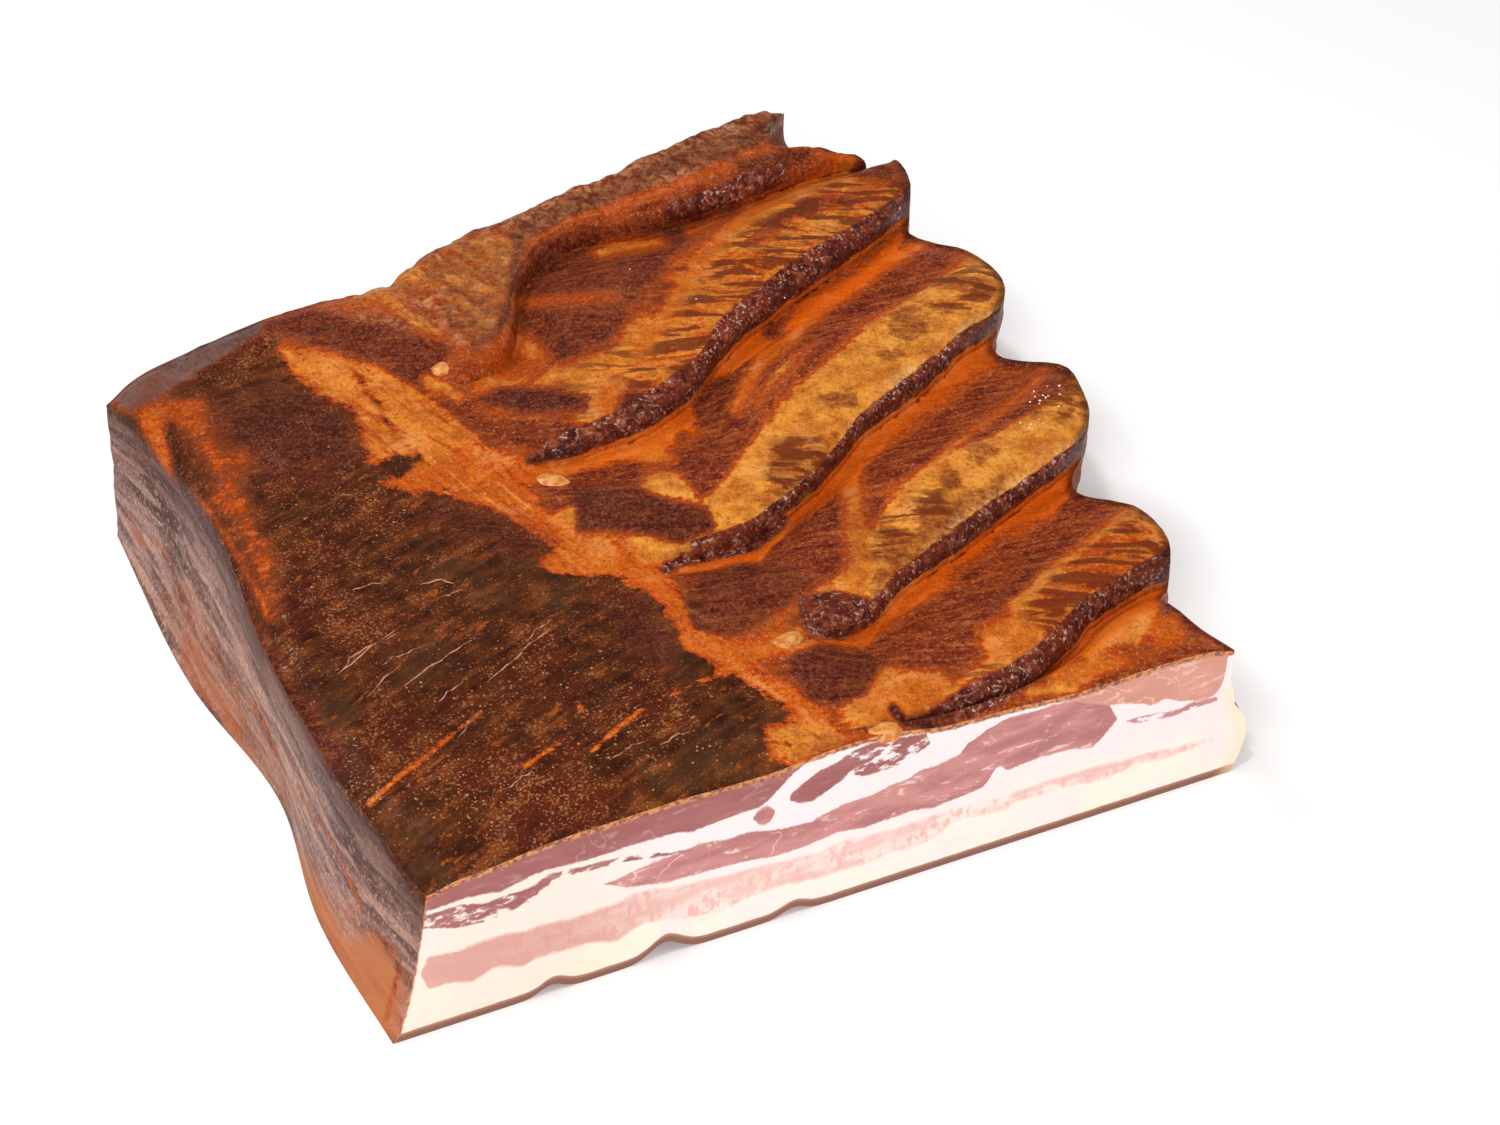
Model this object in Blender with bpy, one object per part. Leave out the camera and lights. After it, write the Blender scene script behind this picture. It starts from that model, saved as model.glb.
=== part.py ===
"""A smoked pork belly slab, rib side up and rind side down, with one fresh straight cut along its front.

The slab is one solid. Its top is a loft through guide lines that run from the left edge to the right edge:
the back edge, the five lips that the removed ribs left behind, and the front cut. Between two lips the meat
rises from a rib bed to a plateau, and at each lip it drops to the next bed.
Sizes are in metres. X runs along the cut, Y runs from the cut to the back, and Z is up.
"""

import bmesh
import bpy
import numpy as np

NAME = "pork_belly_slab"

# Driving dimensions
CUT_WIDTH = 0.180  # top edge of the fresh cut, from its left corner
DECK_HEIGHT = 0.0435  # plateau level above the table
RIM_FALL = 0.0040  # how much lower the plateaus lie at the rib ends
LIP_DROP = 0.0082  # step from a plateau down to the next rib bed, at the rib ends
LIP_RUN = 0.0014  # how far the step leans out on its way down
LIP_BROW = 0.20  # share of the step that the lip's rounded brow takes
RIB_FADE = 0.026  # length over which a lip grows out of the fat seam
BORDER_RISE = 0.0020  # the back border stands this far above the plateaus
EDGE_FALL = 0.0018  # rounding of the smoked top edges
EDGE_WIDTH = 0.0045
RIND_BAND = 0.0025  # thickness of the rind under the fat
FACE_LEAN = 0.0031  # the cut leans out this far at its foot
FAT_BULGE = 0.0030  # the soft fat swells out of the side between the meat and the rind
FLAP_SHARE = (0.56, 0.80)  # height shares between which the right side steps out to the flaps
FOLD_LENGTH = 0.045  # how far a fold of the rind reaches under the slab
CENTRE = (0.0845, 0.1102)  # middle of the footprint, measured from the cut's left corner

# Outline of the top seen from above. Left and right edges are (y, x) pairs, the back edge (x, y) pairs
LEFT_EDGE = [(0, 0), (0.024, -0.006), (0.059, -0.010), (0.138, -0.012), (0.155, -0.016), (0.170, -0.022)]
RIGHT_EDGE = [
    (0.000, 0.1810),
    (0.011, 0.1765),
    (0.021, 0.1750),
    (0.028, 0.1810),
    (0.042, 0.1840),
    (0.050, 0.1810),
    (0.057, 0.1755),
    (0.069, 0.1790),
    (0.079, 0.1880),
    (0.090, 0.1920),
    (0.101, 0.1920),
    (0.108, 0.1860),
    (0.113, 0.1835),
    (0.122, 0.1850),
    (0.131, 0.1925),
    (0.150, 0.1920),
    (0.157, 0.1885),
    (0.172, 0.1860),
    (0.182, 0.1910),
    (0.195, 0.1920),
    (0.201, 0.1890),
    (0.205, 0.1745),
    (0.227, 0.1750),
]
BACK_EDGE = [
    (-0.022, 0.168),
    (0.000, 0.179),
    (0.035, 0.187),
    (0.055, 0.188),
    (0.066, 0.195),
    (0.103, 0.2035),
    (0.146, 0.2115),
    (0.175, 0.2235),
]

# Outline of the foot: the fat and the rind spread wider than the meat
LEFT_FOOT = [(0, -0.011), (0.034, -0.0155), (0.070, -0.0135), (0.112, -0.022), (0.172, -0.0255)]
RIGHT_FOOT = [(0, 0.1825), (0.060, 0.183), (0.120, 0.186), (0.190, 0.183), (0.228, 0.1755)]

# The lips from the back to the front: the x where each one starts, and the line that it follows
LIPS = [
    (
        0.050,
        [
            (-0.020, 0.142),
            (0.030, 0.143),
            (0.060, 0.147),
            (0.071, 0.155),
            (0.082, 0.177),
            (0.092, 0.188),
            (0.125, 0.192),
            (0.150, 0.196),
            (0.168, 0.202),
            (0.195, 0.203),
        ],
    ),
    (
        0.056,
        [
            (-0.020, 0.112),
            (0.040, 0.106),
            (0.075, 0.108),
            (0.094, 0.117),
            (0.126, 0.141),
            (0.145, 0.153),
            (0.165, 0.163),
            (0.192, 0.183),
        ],
    ),
    (
        0.074,
        [
            (-0.020, 0.082),
            (0.050, 0.068),
            (0.088, 0.065),
            (0.111, 0.077),
            (0.149, 0.101),
            (0.170, 0.116),
            (0.194, 0.132),
        ],
    ),
    (
        0.090,
        [
            (-0.020, 0.052),
            (0.060, 0.038),
            (0.106, 0.0355),
            (0.129, 0.045),
            (0.147, 0.056),
            (0.168, 0.064),
            (0.190, 0.080),
        ],
    ),
    (
        0.100,
        [
            (-0.020, 0.026),
            (0.060, 0.013),
            (0.110, 0.0055),
            (0.136, 0.0095),
            (0.154, 0.018),
            (0.172, 0.026),
            (0.186, 0.029),
        ],
    ),
]

# Share of each band, from one lip to the next, at which the meat reaches its plateau. The first is the border
RISE_END = (1.0, 0.42, 0.62, 0.60, 0.70, 0.50)

# Height of the cut's top edge along x
CUT_CREST = [
    (0, 0.0400),
    (0.016, 0.0412),
    (0.038, 0.0440),
    (0.078, 0.0456),
    (0.104, 0.0418),
    (0.139, 0.0372),
    (0.160, 0.0364),
    (0.180, 0.0366),
]

# Folds of the rind along the cut: (x, height of the fold, half its width)
FOLDS = [(0.023, 0.0024, 0.0035), (0.048, 0.0042, 0.0045), (0.077, 0.0020, 0.0035)]

# Long dents in the top: (depth, half width, line through (x, y))
DENTS = [
    (0.0014, 0.008, [(0.016, 0.171), (0.037, 0.131), (0.052, 0.090), (0.063, 0.058), (0.068, 0.037), (0.088, 0.005)]),
    (0.0034, 0.0045, [(-0.012, 0.161), (-0.013, 0.146), (-0.015, 0.126), (-0.014, 0.105), (-0.012, 0.080)]),
]

# Mesh stations
COLUMNS = 42
COLUMN_CROWD = 0.45  # how much closer the columns stand at the two sides
BAND_ROWS = (0.0, 0.09, 0.23, 0.40, 0.58, 0.76, 0.91, 1.0)
WALL_ROWS = (0.0, RIND_BAND / DECK_HEIGHT, 0.26, 0.50, 0.68, 0.84, 1.0)


def smooth_curve(knots):
    """A curve with no corners through (position, value) knots, level beyond both ends."""
    at, value = np.array(knots, float).T
    slope = np.gradient(value, at)

    def curve(position):
        x = np.clip(position, at[0], at[-1])
        i = np.clip(np.searchsorted(at, x) - 1, 0, len(at) - 2)
        width = at[i + 1] - at[i]
        t = (x - at[i]) / width
        start = value[i] * (1 + 2 * t) + slope[i] * width * t
        end = value[i + 1] * (3 - 2 * t) + slope[i + 1] * width * (t - 1)
        return start * (1 - t) ** 2 + end * t * t

    return curve


def ease(t):
    """Smooth step from 0 to 1."""
    t = np.clip(t, 0, 1)
    return t * t * (3 - 2 * t)


left_edge, right_edge, back_edge = smooth_curve(LEFT_EDGE), smooth_curve(RIGHT_EDGE), smooth_curve(BACK_EDGE)
left_foot, right_foot = smooth_curve(LEFT_FOOT), smooth_curve(RIGHT_FOOT)
cut_crest = smooth_curve(CUT_CREST)
guides = [back_edge] + [smooth_curve(line) for _, line in LIPS] + [lambda x: 0.0]


def lip_strength(lip, x):
    """0 where the lip hasn't begun, then growing to its full height at the rib ends."""
    start = LIPS[lip][0]
    return ease((x - start) / RIB_FADE) * (0.70 + 0.30 * ease((x - start) / 0.080))


def deck(x, y):
    """Plateau level: lower towards the rib ends, with the slow swell of a hand-pressed slab."""
    swell = 0.0008 * np.sin(34 * x + 0.6) * np.cos(27 * y)
    return DECK_HEIGHT - RIM_FALL * ease((x - 0.125) / 0.065) + swell


def dents(x, y):
    """Depth of the fat seam's valley and of the groove along the left edge."""
    depth = 0.0
    for deep, half, line in DENTS:
        for (ax, ay), (bx, by) in zip(line, line[1:]):
            run = (bx - ax) ** 2 + (by - ay) ** 2
            t = np.clip(((x - ax) * (bx - ax) + (y - ay) * (by - ay)) / run, 0, 1)
            gap = np.hypot(x - ax - t * (bx - ax), y - ay - t * (by - ay))
            depth = max(depth, deep * np.exp(-((gap / half) ** 2)))
    return depth


def column(u):
    """Columns stand closer together at the two sides, where the edges are rounded."""
    return u + COLUMN_CROWD * (0.5 - 0.5 * np.cos(np.pi * u) - u)


def along_guides(u, band, t, lean):
    """Y on the way from the band's back guide to its front guide, and the x used to read the guides."""
    along = -0.016 + u * 0.203
    back_y, front_y = guides[band](along), guides[band + 1](along)
    if band > 0:
        back_y = back_y - lean * lip_strength(band - 1, along)
    return back_y + t * (front_y - back_y)


def top_point(u, band, t):
    """Point of the top skin: u from left to right, t from the band's back guide to its front guide."""
    y = along_guides(u, band, t, LIP_RUN)
    x = left_edge(y) + u * (right_edge(y) - left_edge(y))
    z = deck(x, y)
    if band == 0:
        z = z + BORDER_RISE * ease((x - 0.070) / 0.030) * (1 - t)
    else:
        z = z - LIP_DROP * lip_strength(band - 1, x) * (1 - ease(t / RISE_END[band]))
    if band < len(LIPS):
        z = z - LIP_DROP * LIP_BROW * lip_strength(band, x) * ease((t - 0.94) / 0.06)
    else:
        z = z + (cut_crest(x) - z) * ease(t)
    side = np.minimum(u, 1 - u) * (right_edge(y) - left_edge(y))
    z = z - EDGE_FALL * np.exp(-((side / EDGE_WIDTH) ** 2))
    if band == 0:
        z = z - EDGE_FALL * (1 - ease(t / 0.12))
    z = z - dents(x, y) * ease((1 - t if band == len(LIPS) else 1) / 0.5)
    return np.array([x, y, z])


def foot_point(u, band, t):
    """Point of the rind, under the same station of the top."""
    y = along_guides(u, band, t, 0.0)
    x = left_foot(y) + u * (right_foot(y) - left_foot(y))
    fade = 1 - ease(y / FOLD_LENGTH)
    z = sum(rise * np.exp(-(((x - at) / half) ** 2)) for at, rise, half in FOLDS) * fade
    return np.array([x, y - FACE_LEAN * (1 - ease(y / 0.05)), z])


def slab_point(u, band, t, w):
    """Point of the slab's skin at height share w, from the rind at 0 to the top at 1."""
    foot, top = foot_point(u, band, t), top_point(u, band, t)
    left_flare = w**0.75  # the left side stands steep above and flares at the foot
    right_flare = ease((w - FLAP_SHARE[0]) / (FLAP_SHARE[1] - FLAP_SHARE[0]))  # flaps overhang the fat
    flare = left_flare + (right_flare - left_flare) * u
    bulge = FAT_BULGE * np.sin(np.pi * min(w / FLAP_SHARE[0], 1)) * ease((u - 0.8) / 0.2)
    x = foot[0] + (top[0] - foot[0]) * flare + bulge
    return np.array([x, foot[1] + (top[1] - foot[1]) * w, foot[2] + (top[2] - foot[2]) * w])


def clear_scene():
    for obj in list(bpy.data.objects):
        bpy.data.objects.remove(obj, do_unlink=True)


def edges_along(bm, axis):
    """The edges that run along one axis of a box-like mesh."""
    return [e for e in bm.edges if abs((e.verts[1].co - e.verts[0].co).normalized()[axis]) > 0.9]


def blank(stations):
    """A cube from 0 to 1 on each axis, cut into the given numbers of cells."""
    bm = bmesh.new()
    bmesh.ops.create_cube(bm, size=1.0)
    bmesh.ops.translate(bm, verts=bm.verts, vec=(0.5, 0.5, 0.5))
    for axis, count in enumerate(stations):
        bmesh.ops.subdivide_edges(bm, edges=edges_along(bm, axis), cuts=count - 1, use_grid_fill=True)
    return bm


def merge_flat_base(bm):
    """One face in place of the flat middle of the rind, inside its outermost ring of cells."""
    ring = 1.5 / COLUMNS
    flat = [
        f
        for f in bm.faces
        if all(v.co.z < 1e-7 and not v.link_edges[0].is_boundary for v in f.verts)
        and all(v[bm.verts.layers.float["inset"]] > ring for v in f.verts)
    ]
    bmesh.ops.dissolve_faces(bm, faces=flat)


def meat_material():
    """Smoked lean meat: dark red-brown and a little glossy."""
    material = bpy.data.materials.new("smoked_crust")
    material.use_nodes = True
    shader = material.node_tree.nodes["Principled BSDF"]
    shader.inputs["Base Color"].default_value = (0.22, 0.055, 0.02, 1)
    shader.inputs["Roughness"].default_value = 0.38
    shader.inputs["Metallic"].default_value = 0.0
    return material


def make_slab():
    rows = [(band, t) for band in range(len(guides) - 1) for t in BAND_ROWS]
    bm = blank((COLUMNS, len(rows) - 1, len(WALL_ROWS) - 1))
    inset = bm.verts.layers.float.new("inset")
    for vert in bm.verts:
        u = column(vert.co.x)
        row = round(vert.co.y * (len(rows) - 1))
        level = round(vert.co.z * (len(WALL_ROWS) - 1))
        vert[inset] = min(vert.co.x, 1 - vert.co.x, vert.co.y, 1 - vert.co.y)
        band, t = rows[len(rows) - 1 - row]
        vert.co = slab_point(u, band, t, WALL_ROWS[level])
    merge_flat_base(bm)
    bmesh.ops.translate(bm, verts=bm.verts, vec=(-CENTRE[0], -CENTRE[1], 0))
    bmesh.ops.triangulate(bm, faces=[f for f in bm.faces if len(f.verts) > 4], ngon_method="BEAUTY")
    mesh = bpy.data.meshes.new(NAME)
    bm.to_mesh(mesh)
    bm.free()
    mesh.shade_smooth()
    mesh.set_sharp_from_angle(angle=np.radians(40))
    mesh.materials.append(meat_material())
    return bpy.data.objects.new(NAME, mesh)


def main():
    clear_scene()
    collection = bpy.data.collections.new(NAME)
    bpy.context.scene.collection.children.link(collection)
    collection.objects.link(make_slab())


main()
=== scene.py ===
# %% [markdown]
# # A smoked pork belly slab
# The slab lies on its rind with the rib side up. Four removed ribs left four hollows with dark rolled lips
# between them, the left half is one broad muscle, and a band of orange fat runs between the two.
# The front is a fresh straight cut that shows every layer of lean and fat.
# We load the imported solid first, because every piece below is made in its frame.

# %% Load the frame
import math

import bmesh
import bpy
import numpy as np
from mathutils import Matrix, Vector


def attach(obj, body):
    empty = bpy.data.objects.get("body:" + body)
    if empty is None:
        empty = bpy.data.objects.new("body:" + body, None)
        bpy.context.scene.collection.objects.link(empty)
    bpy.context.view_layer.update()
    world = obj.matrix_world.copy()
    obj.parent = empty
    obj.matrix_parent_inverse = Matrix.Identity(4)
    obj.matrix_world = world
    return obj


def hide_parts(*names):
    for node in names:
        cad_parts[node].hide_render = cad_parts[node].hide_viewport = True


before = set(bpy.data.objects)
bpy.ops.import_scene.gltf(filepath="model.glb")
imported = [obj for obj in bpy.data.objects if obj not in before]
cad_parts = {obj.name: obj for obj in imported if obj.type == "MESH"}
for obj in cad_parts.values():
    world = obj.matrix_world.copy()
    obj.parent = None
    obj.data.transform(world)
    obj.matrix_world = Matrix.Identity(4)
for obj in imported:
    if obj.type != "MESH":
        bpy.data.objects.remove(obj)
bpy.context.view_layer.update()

NODE = "pork_belly_slab"
MM = 0.001

# %% [markdown]
# ## The camera
# The photographer stood to the left of the cut and looked down at about 42 degrees. A long lens keeps the
# slab's edges nearly parallel. The same numbers serve twice: Blender's camera uses them, and so does the
# function that tells where a point of the slab falls in the 1500 by 1125 picture. With it, each patch of fat
# and lean can be drawn at the place where it is seen, and it still lies on the slab from any side.

# %% Camera
PICTURE_WIDTH, PICTURE_HEIGHT = 1500, 1125
CAMERA_PLACE = np.array([-168.0, -467.3, 449.4])  # mm
CAMERA_YAW = math.radians(23.05)
CAMERA_DIP = math.radians(42.0)
LENS, SENSOR = 67.2, 36.0
CORNER = np.array([-84.5, -110.2])  # where the cut's left top corner stands, mm
CUT_Y = CORNER[1]
FACE_LEAN = 3.1  # the cut leans out this far at its foot

look = np.array(
    [
        math.sin(CAMERA_YAW) * math.cos(CAMERA_DIP),
        math.cos(CAMERA_YAW) * math.cos(CAMERA_DIP),
        -math.sin(CAMERA_DIP),
    ]
)
rightward = np.array([math.cos(CAMERA_YAW), -math.sin(CAMERA_YAW), 0.0])
upward = np.cross(rightward, look)
focal = LENS / SENSOR * PICTURE_WIDTH


def in_picture(points):
    """Picture coordinates, in pixels, of points in mm."""
    offset = points - CAMERA_PLACE
    far = offset @ look
    across = PICTURE_WIDTH / 2 + focal * (offset @ rightward) / far
    down = PICTURE_HEIGHT / 2 - focal * (offset @ upward) / far
    return across, down


def on_cut(pixel):
    """X and z, in mm, of the point of the cut that is seen at a pixel."""
    ray = look + (pixel[0] - PICTURE_WIDTH / 2) / focal * rightward
    ray = ray - (pixel[1] - PICTURE_HEIGHT / 2) / focal * upward
    z = 20.0
    for _ in range(6):
        plane = CUT_Y - FACE_LEAN * (1 - z / 42.0)
        hit = CAMERA_PLACE + ray * (plane - CAMERA_PLACE[1]) / ray[1]
        z = hit[2]
    return hit[0] - CORNER[0], hit[2]


camera_data = bpy.data.cameras.new("camera")
camera_data.lens, camera_data.sensor_width = LENS, SENSOR
camera = bpy.data.objects.new("camera", camera_data)
camera.location = CAMERA_PLACE * MM
camera.rotation_euler = (math.pi / 2 - CAMERA_DIP, 0, -CAMERA_YAW)
bpy.context.scene.collection.objects.link(camera)
bpy.context.scene.camera = camera
print("camera height over the table:", CAMERA_PLACE[2], "mm")

# %% [markdown]
# ## The outline
# Seen from above, the slab is bounded by a straight cut in front, a wavy left side, a slanting back and a
# right side that is scalloped by the rib flaps. Such an outline could be traced as one long curve. Here each
# side is a short table of knots with a smooth curve through them, because then any row or column of the
# mesh can ask where its side is. Lengths are in mm, measured from the cut's left corner.

# %% Curves of the outline
LEFT_EDGE = [(0, 0), (24, -6), (59, -10), (138, -12), (155, -16), (170, -22)]
RIGHT_EDGE = [
    (0, 181.0), (11, 176.5), (21, 175.0), (28, 181.0), (42, 184.0), (50, 181.0), (57, 175.5), (69, 179.0),
    (79, 188.0), (90, 192.0), (101, 192.0), (108, 186.0), (113, 183.5), (122, 185.0), (131, 192.5),
    (150, 192.0), (157, 188.5), (172, 186.0), (182, 191.0), (195, 192.0), (201, 189.0), (205, 174.5),
    (227, 175.0),
]
BACK_EDGE = [(-22, 168), (0, 179), (35, 187), (55, 188), (66, 195), (103, 203.5), (146, 211.5), (175, 223.5)]
LEFT_FOOT = [(0, -11), (34, -15.5), (70, -13.5), (112, -22), (172, -25.5)]
RIGHT_FOOT = [(0, 182.5), (60, 183), (120, 186), (190, 183), (228, 175.5)]


def smooth_curve(knots):
    """A curve with no corners through (position, value) knots, level beyond both ends."""
    at, value = np.array(knots, float).T
    slope = np.gradient(value, at)

    def curve(position):
        x = np.clip(position, at[0], at[-1])
        i = np.clip(np.searchsorted(at, x) - 1, 0, len(at) - 2)
        width = at[i + 1] - at[i]
        t = (x - at[i]) / width
        start = value[i] * (1 + 2 * t) + slope[i] * width * t
        end = value[i + 1] * (3 - 2 * t) + slope[i + 1] * width * (t - 1)
        return start * (1 - t) ** 2 + end * t * t

    return curve


def ease(t):
    """Smooth step from 0 to 1."""
    t = np.clip(t, 0, 1)
    return t * t * (3 - 2 * t)


left_edge, right_edge, back_edge = (smooth_curve(k) for k in (LEFT_EDGE, RIGHT_EDGE, BACK_EDGE))
left_foot, right_foot = smooth_curve(LEFT_FOOT), smooth_curve(RIGHT_FOOT)
print("widest from side to side:", max(k[1] for k in RIGHT_EDGE) - min(k[1] for k in LEFT_FOOT), "mm")

# %% [markdown]
# ## The lips
# A pulled rib leaves a smooth bed. On the cut's side of each bed the meat rises again to a plateau, and the
# plateau ends in a thick dried lip that overhangs the next bed. The lips fan out from the fat band to the
# right side. They are curves y(x), and each grows from nothing where it leaves the fat.

# %% Lips
LIPS = [  # where a lip begins, and its line, mm
    (50, [(-20, 142), (30, 143), (60, 147), (71, 155), (82, 177), (92, 188), (125, 192), (150, 196),
          (168, 202), (195, 203)]),
    (50, [(-20, 112), (40, 107), (63, 112), (75, 113.5), (90, 115.5), (104, 122), (121, 136.5), (142, 150.5),
          (155, 158), (168, 165.3), (182, 174), (192, 182)]),
    (64, [(-20, 82), (50, 72), (78, 70.3), (89, 70.6), (99, 71), (107, 74.7), (123.5, 84.3), (137, 95.7),
          (151, 103.8), (166, 113.3), (176, 119.5), (184, 123.7), (194, 131)]),
    (84, [(-20, 52), (60, 42), (97, 38.5), (105, 35.8), (112, 37.2), (122, 43.5), (138, 50.8), (152, 58),
          (165, 64), (174, 68.5), (182, 73), (190, 80)]),
    (92, [(-20, 26), (60, 13), (105, 5.5), (118, 4.3), (126, 4.8), (133, 7), (140, 10), (147, 14.2),
          (155, 19.5), (163, 23), (174, 27), (186, 31)]),
]
RISE_END = np.array([1.0, 0.42, 0.62, 0.60, 0.70, 0.50])  # share of a band where its plateau begins
LIP_DROP, LIP_RUN, LIP_BROW = 8.2, 1.4, 0.20
RIB_FADE = 26.0
DECK_HEIGHT, RIM_FALL = 43.5, 4.0
BORDER_RISE, EDGE_FALL, EDGE_WIDTH = 2.0, 1.8, 4.5
CUT_CREST = [(-4, 38.4), (13, 39.3), (26, 41.0), (42, 41.4), (58, 41.6), (73, 41.2), (88, 42.9), (98, 42.6),
             (113, 39.2), (128, 38.2), (145, 36.8), (162, 37.4), (180, 36.8)]
FOLDS = [(23, 2.4, 3.5), (48, 4.2, 4.5), (77, 2.0, 3.5)]
FOLD_LENGTH = 45.0
FAT_BULGE, FLAP_SHARE = 3.0, (0.56, 0.80)
DENTS = [
    (1.4, 8.0, [(16, 171), (37, 131), (52, 90), (63, 58), (68, 37), (88, 5)]),
    (3.4, 4.5, [(-12, 161), (-13, 146), (-15, 126), (-14, 105), (-12, 80)]),
]

cut_crest = smooth_curve(CUT_CREST)
guides = [back_edge] + [smooth_curve(line) for _, line in LIPS] + [lambda x: np.zeros_like(x)]


def lip_strength(lip, x):
    """0 where the lip hasn't begun, then growing to its full height at the rib ends."""
    start = LIPS[lip][0]
    return ease((x - start) / RIB_FADE) * (0.70 + 0.30 * ease((x - start) / 80))


def deck(x, y):
    """Plateau level: lower towards the rib ends, with the slow swell of a hand-pressed slab."""
    swell = 0.8 * np.sin(0.034 * x + 0.6) * np.cos(0.027 * y)
    return DECK_HEIGHT - RIM_FALL * ease((x - 125) / 65) + swell


print("lips:", len(LIPS), "- bed depth at the rib ends:", LIP_DROP, "mm")

# %% [markdown]
# ## Grain
# Dried meat is rough at several scales: slow hollows, a crumbled lip, fibres. The mesh has points close
# enough together to carry the first two as real shape. A Displace modifier could do this, but a small noise
# function of our own can be stretched along the fibres and switched on place by place.


# %% Noise for shapes
def noise(points, size, seed=0):
    """Smooth noise from -1 to 1 with lumps of about the given size, one size or one for each axis."""
    p = np.asarray(points, float) / size + 71.3 + 17.7 * seed
    cell = np.floor(p).astype(np.int64)
    f = p - cell
    f = f * f * (3 - 2 * f)
    total = 0.0
    for corner in range(8):
        bit = np.array([corner & 1, corner >> 1 & 1, corner >> 2 & 1])
        c = cell + bit
        h = (c[:, 0] * 73856093) ^ (c[:, 1] * 19349663) ^ (c[:, 2] * 83492791)
        h = (h ^ (h >> 13)) * 1274126177 & 0x7FFFFFFF
        value = ((h ^ (h >> 16)) & 0xFFFF) / 32767.5 - 1
        total = total + value * np.prod(np.where(bit, f, 1 - f), axis=1)
    return total


def turned(x, y, degrees):
    """Coordinates along and across a direction, as the x and y of points for the noise."""
    a = math.radians(degrees)
    return np.stack([x * math.cos(a) + y * math.sin(a), y * math.cos(a) - x * math.sin(a), 0 * x], axis=1)


print("noise check:", noise(np.array([[1.0, 2.0, 3.0], [4.0, 5.0, 6.0]]), 2.0).round(3))

# %% [markdown]
# ## The slab's blank
# The body starts as a cube that is cut into a fine lattice with subdivide_edges. Every station of the
# lattice has an address: a share u from left to right, a row from the back to the front, and a level from
# the rind to the top. The rows stand close together at each lip, where seven extra rows make its wall.

# %% Lattice
COLUMNS = 280
BAND_STEPS = 28
WALL_STEPS = 7
LEVELS = 22
COLUMN_CROWD = 0.30


def lattice_rows():
    """(band, share of the band, share of the lip's wall) for each row, from the back to the front."""
    rows = []
    for band in range(len(guides) - 1):
        for step in range(BAND_STEPS + 1):
            t = step / BAND_STEPS
            rows.append((band, t - 0.10 * math.sin(2 * math.pi * t) * 0.8, 0.0))
        if band < len(LIPS):
            rows += [(band, 1.0, step / (WALL_STEPS + 1)) for step in range(1, WALL_STEPS + 1)]
    return rows


def cut_lattice(stations):
    """A cube from 0 to 1 on each axis, cut into the given numbers of cells."""
    bm = bmesh.new()
    bmesh.ops.create_cube(bm, size=1.0)
    bmesh.ops.translate(bm, verts=bm.verts, vec=(0.5, 0.5, 0.5))
    for axis, count in enumerate(stations):
        along = [e for e in bm.edges if abs(e.verts[1].co[axis] - e.verts[0].co[axis]) > 0.5]
        bmesh.ops.subdivide_edges(bm, edges=along, cuts=count - 1, use_grid_fill=True)
    return bm


rows = lattice_rows()
slab_bm = cut_lattice((COLUMNS, len(rows) - 1, LEVELS))
print("rows:", len(rows), "points:", len(slab_bm.verts))

# %% [markdown]
# ## The slab's form
# Now each station gets its place. The top is a loft between the guide curves: a point's row says between
# which two lips it lies, and the height follows the bed, the rising muscle, the plateau and the lip's brow.
# The walls run from the top's outline to the foot's, which spreads wider on the left, and on the right the
# flaps overhang the soft fat.

# %% Form of the top
BACK_START, BACK_RUN = -16.0, 203.0  # where the back edge starts and how far it runs, mm
addresses = np.array([v.co for v in slab_bm.verts])
u = addresses[:, 0] + COLUMN_CROWD * (0.5 - 0.5 * np.cos(np.pi * addresses[:, 0]) - addresses[:, 0])
row_table = np.array(rows)
row_index = np.rint((1 - addresses[:, 1]) * (len(rows) - 1)).astype(int)
band = row_table[row_index, 0].astype(int)
share = row_table[row_index, 1]
wall = row_table[row_index, 2]
level = addresses[:, 2]
level = 0.5 * level + 0.5 * (0.5 - 0.5 * np.cos(np.pi * level))

along = BACK_START + u * BACK_RUN
guide_x = np.array([along] * len(guides))
for _ in range(8):
    guide_y = np.array([g(x_) for g, x_ in zip(guides, guide_x)])
    guide_x = 0.5 * guide_x + 0.5 * (left_edge(guide_y) + u * (right_edge(guide_y) - left_edge(guide_y)))
    guide_x[0] = along
strengths = np.array([lip_strength(i, guide_x[i + 1]) for i in range(len(LIPS))])
each = np.arange(len(u))
lip_below = np.clip(band, 0, len(LIPS) - 1)
lip_above = np.clip(band - 1, 0, len(LIPS) - 1)


def wall_reach(strength, w):
    """How far a lip's wall stands in front of its line at share w of the drop: it rolls out, then in."""
    roll = LIP_RUN * w + 0.9 * np.sin(np.pi * w**0.75)
    return strength * roll + (1 - strength) * 3.0 * w


back_y = guide_y[band, each] - np.where(band > 0, wall_reach(strengths[lip_above, each], 1.0), 0)
front_y = guide_y[band + 1, each]
y_top = back_y + share * (front_y - back_y)
below = strengths[lip_below, each]
y_top = y_top - np.where(wall > 0, wall_reach(below, wall), 0)
x_top = left_edge(y_top) + u * (right_edge(y_top) - left_edge(y_top))
here_below = np.choose(lip_below, [lip_strength(i, x_top) for i in range(len(LIPS))])
here_above = np.choose(lip_above, [lip_strength(i, x_top) for i in range(len(LIPS))])

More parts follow.
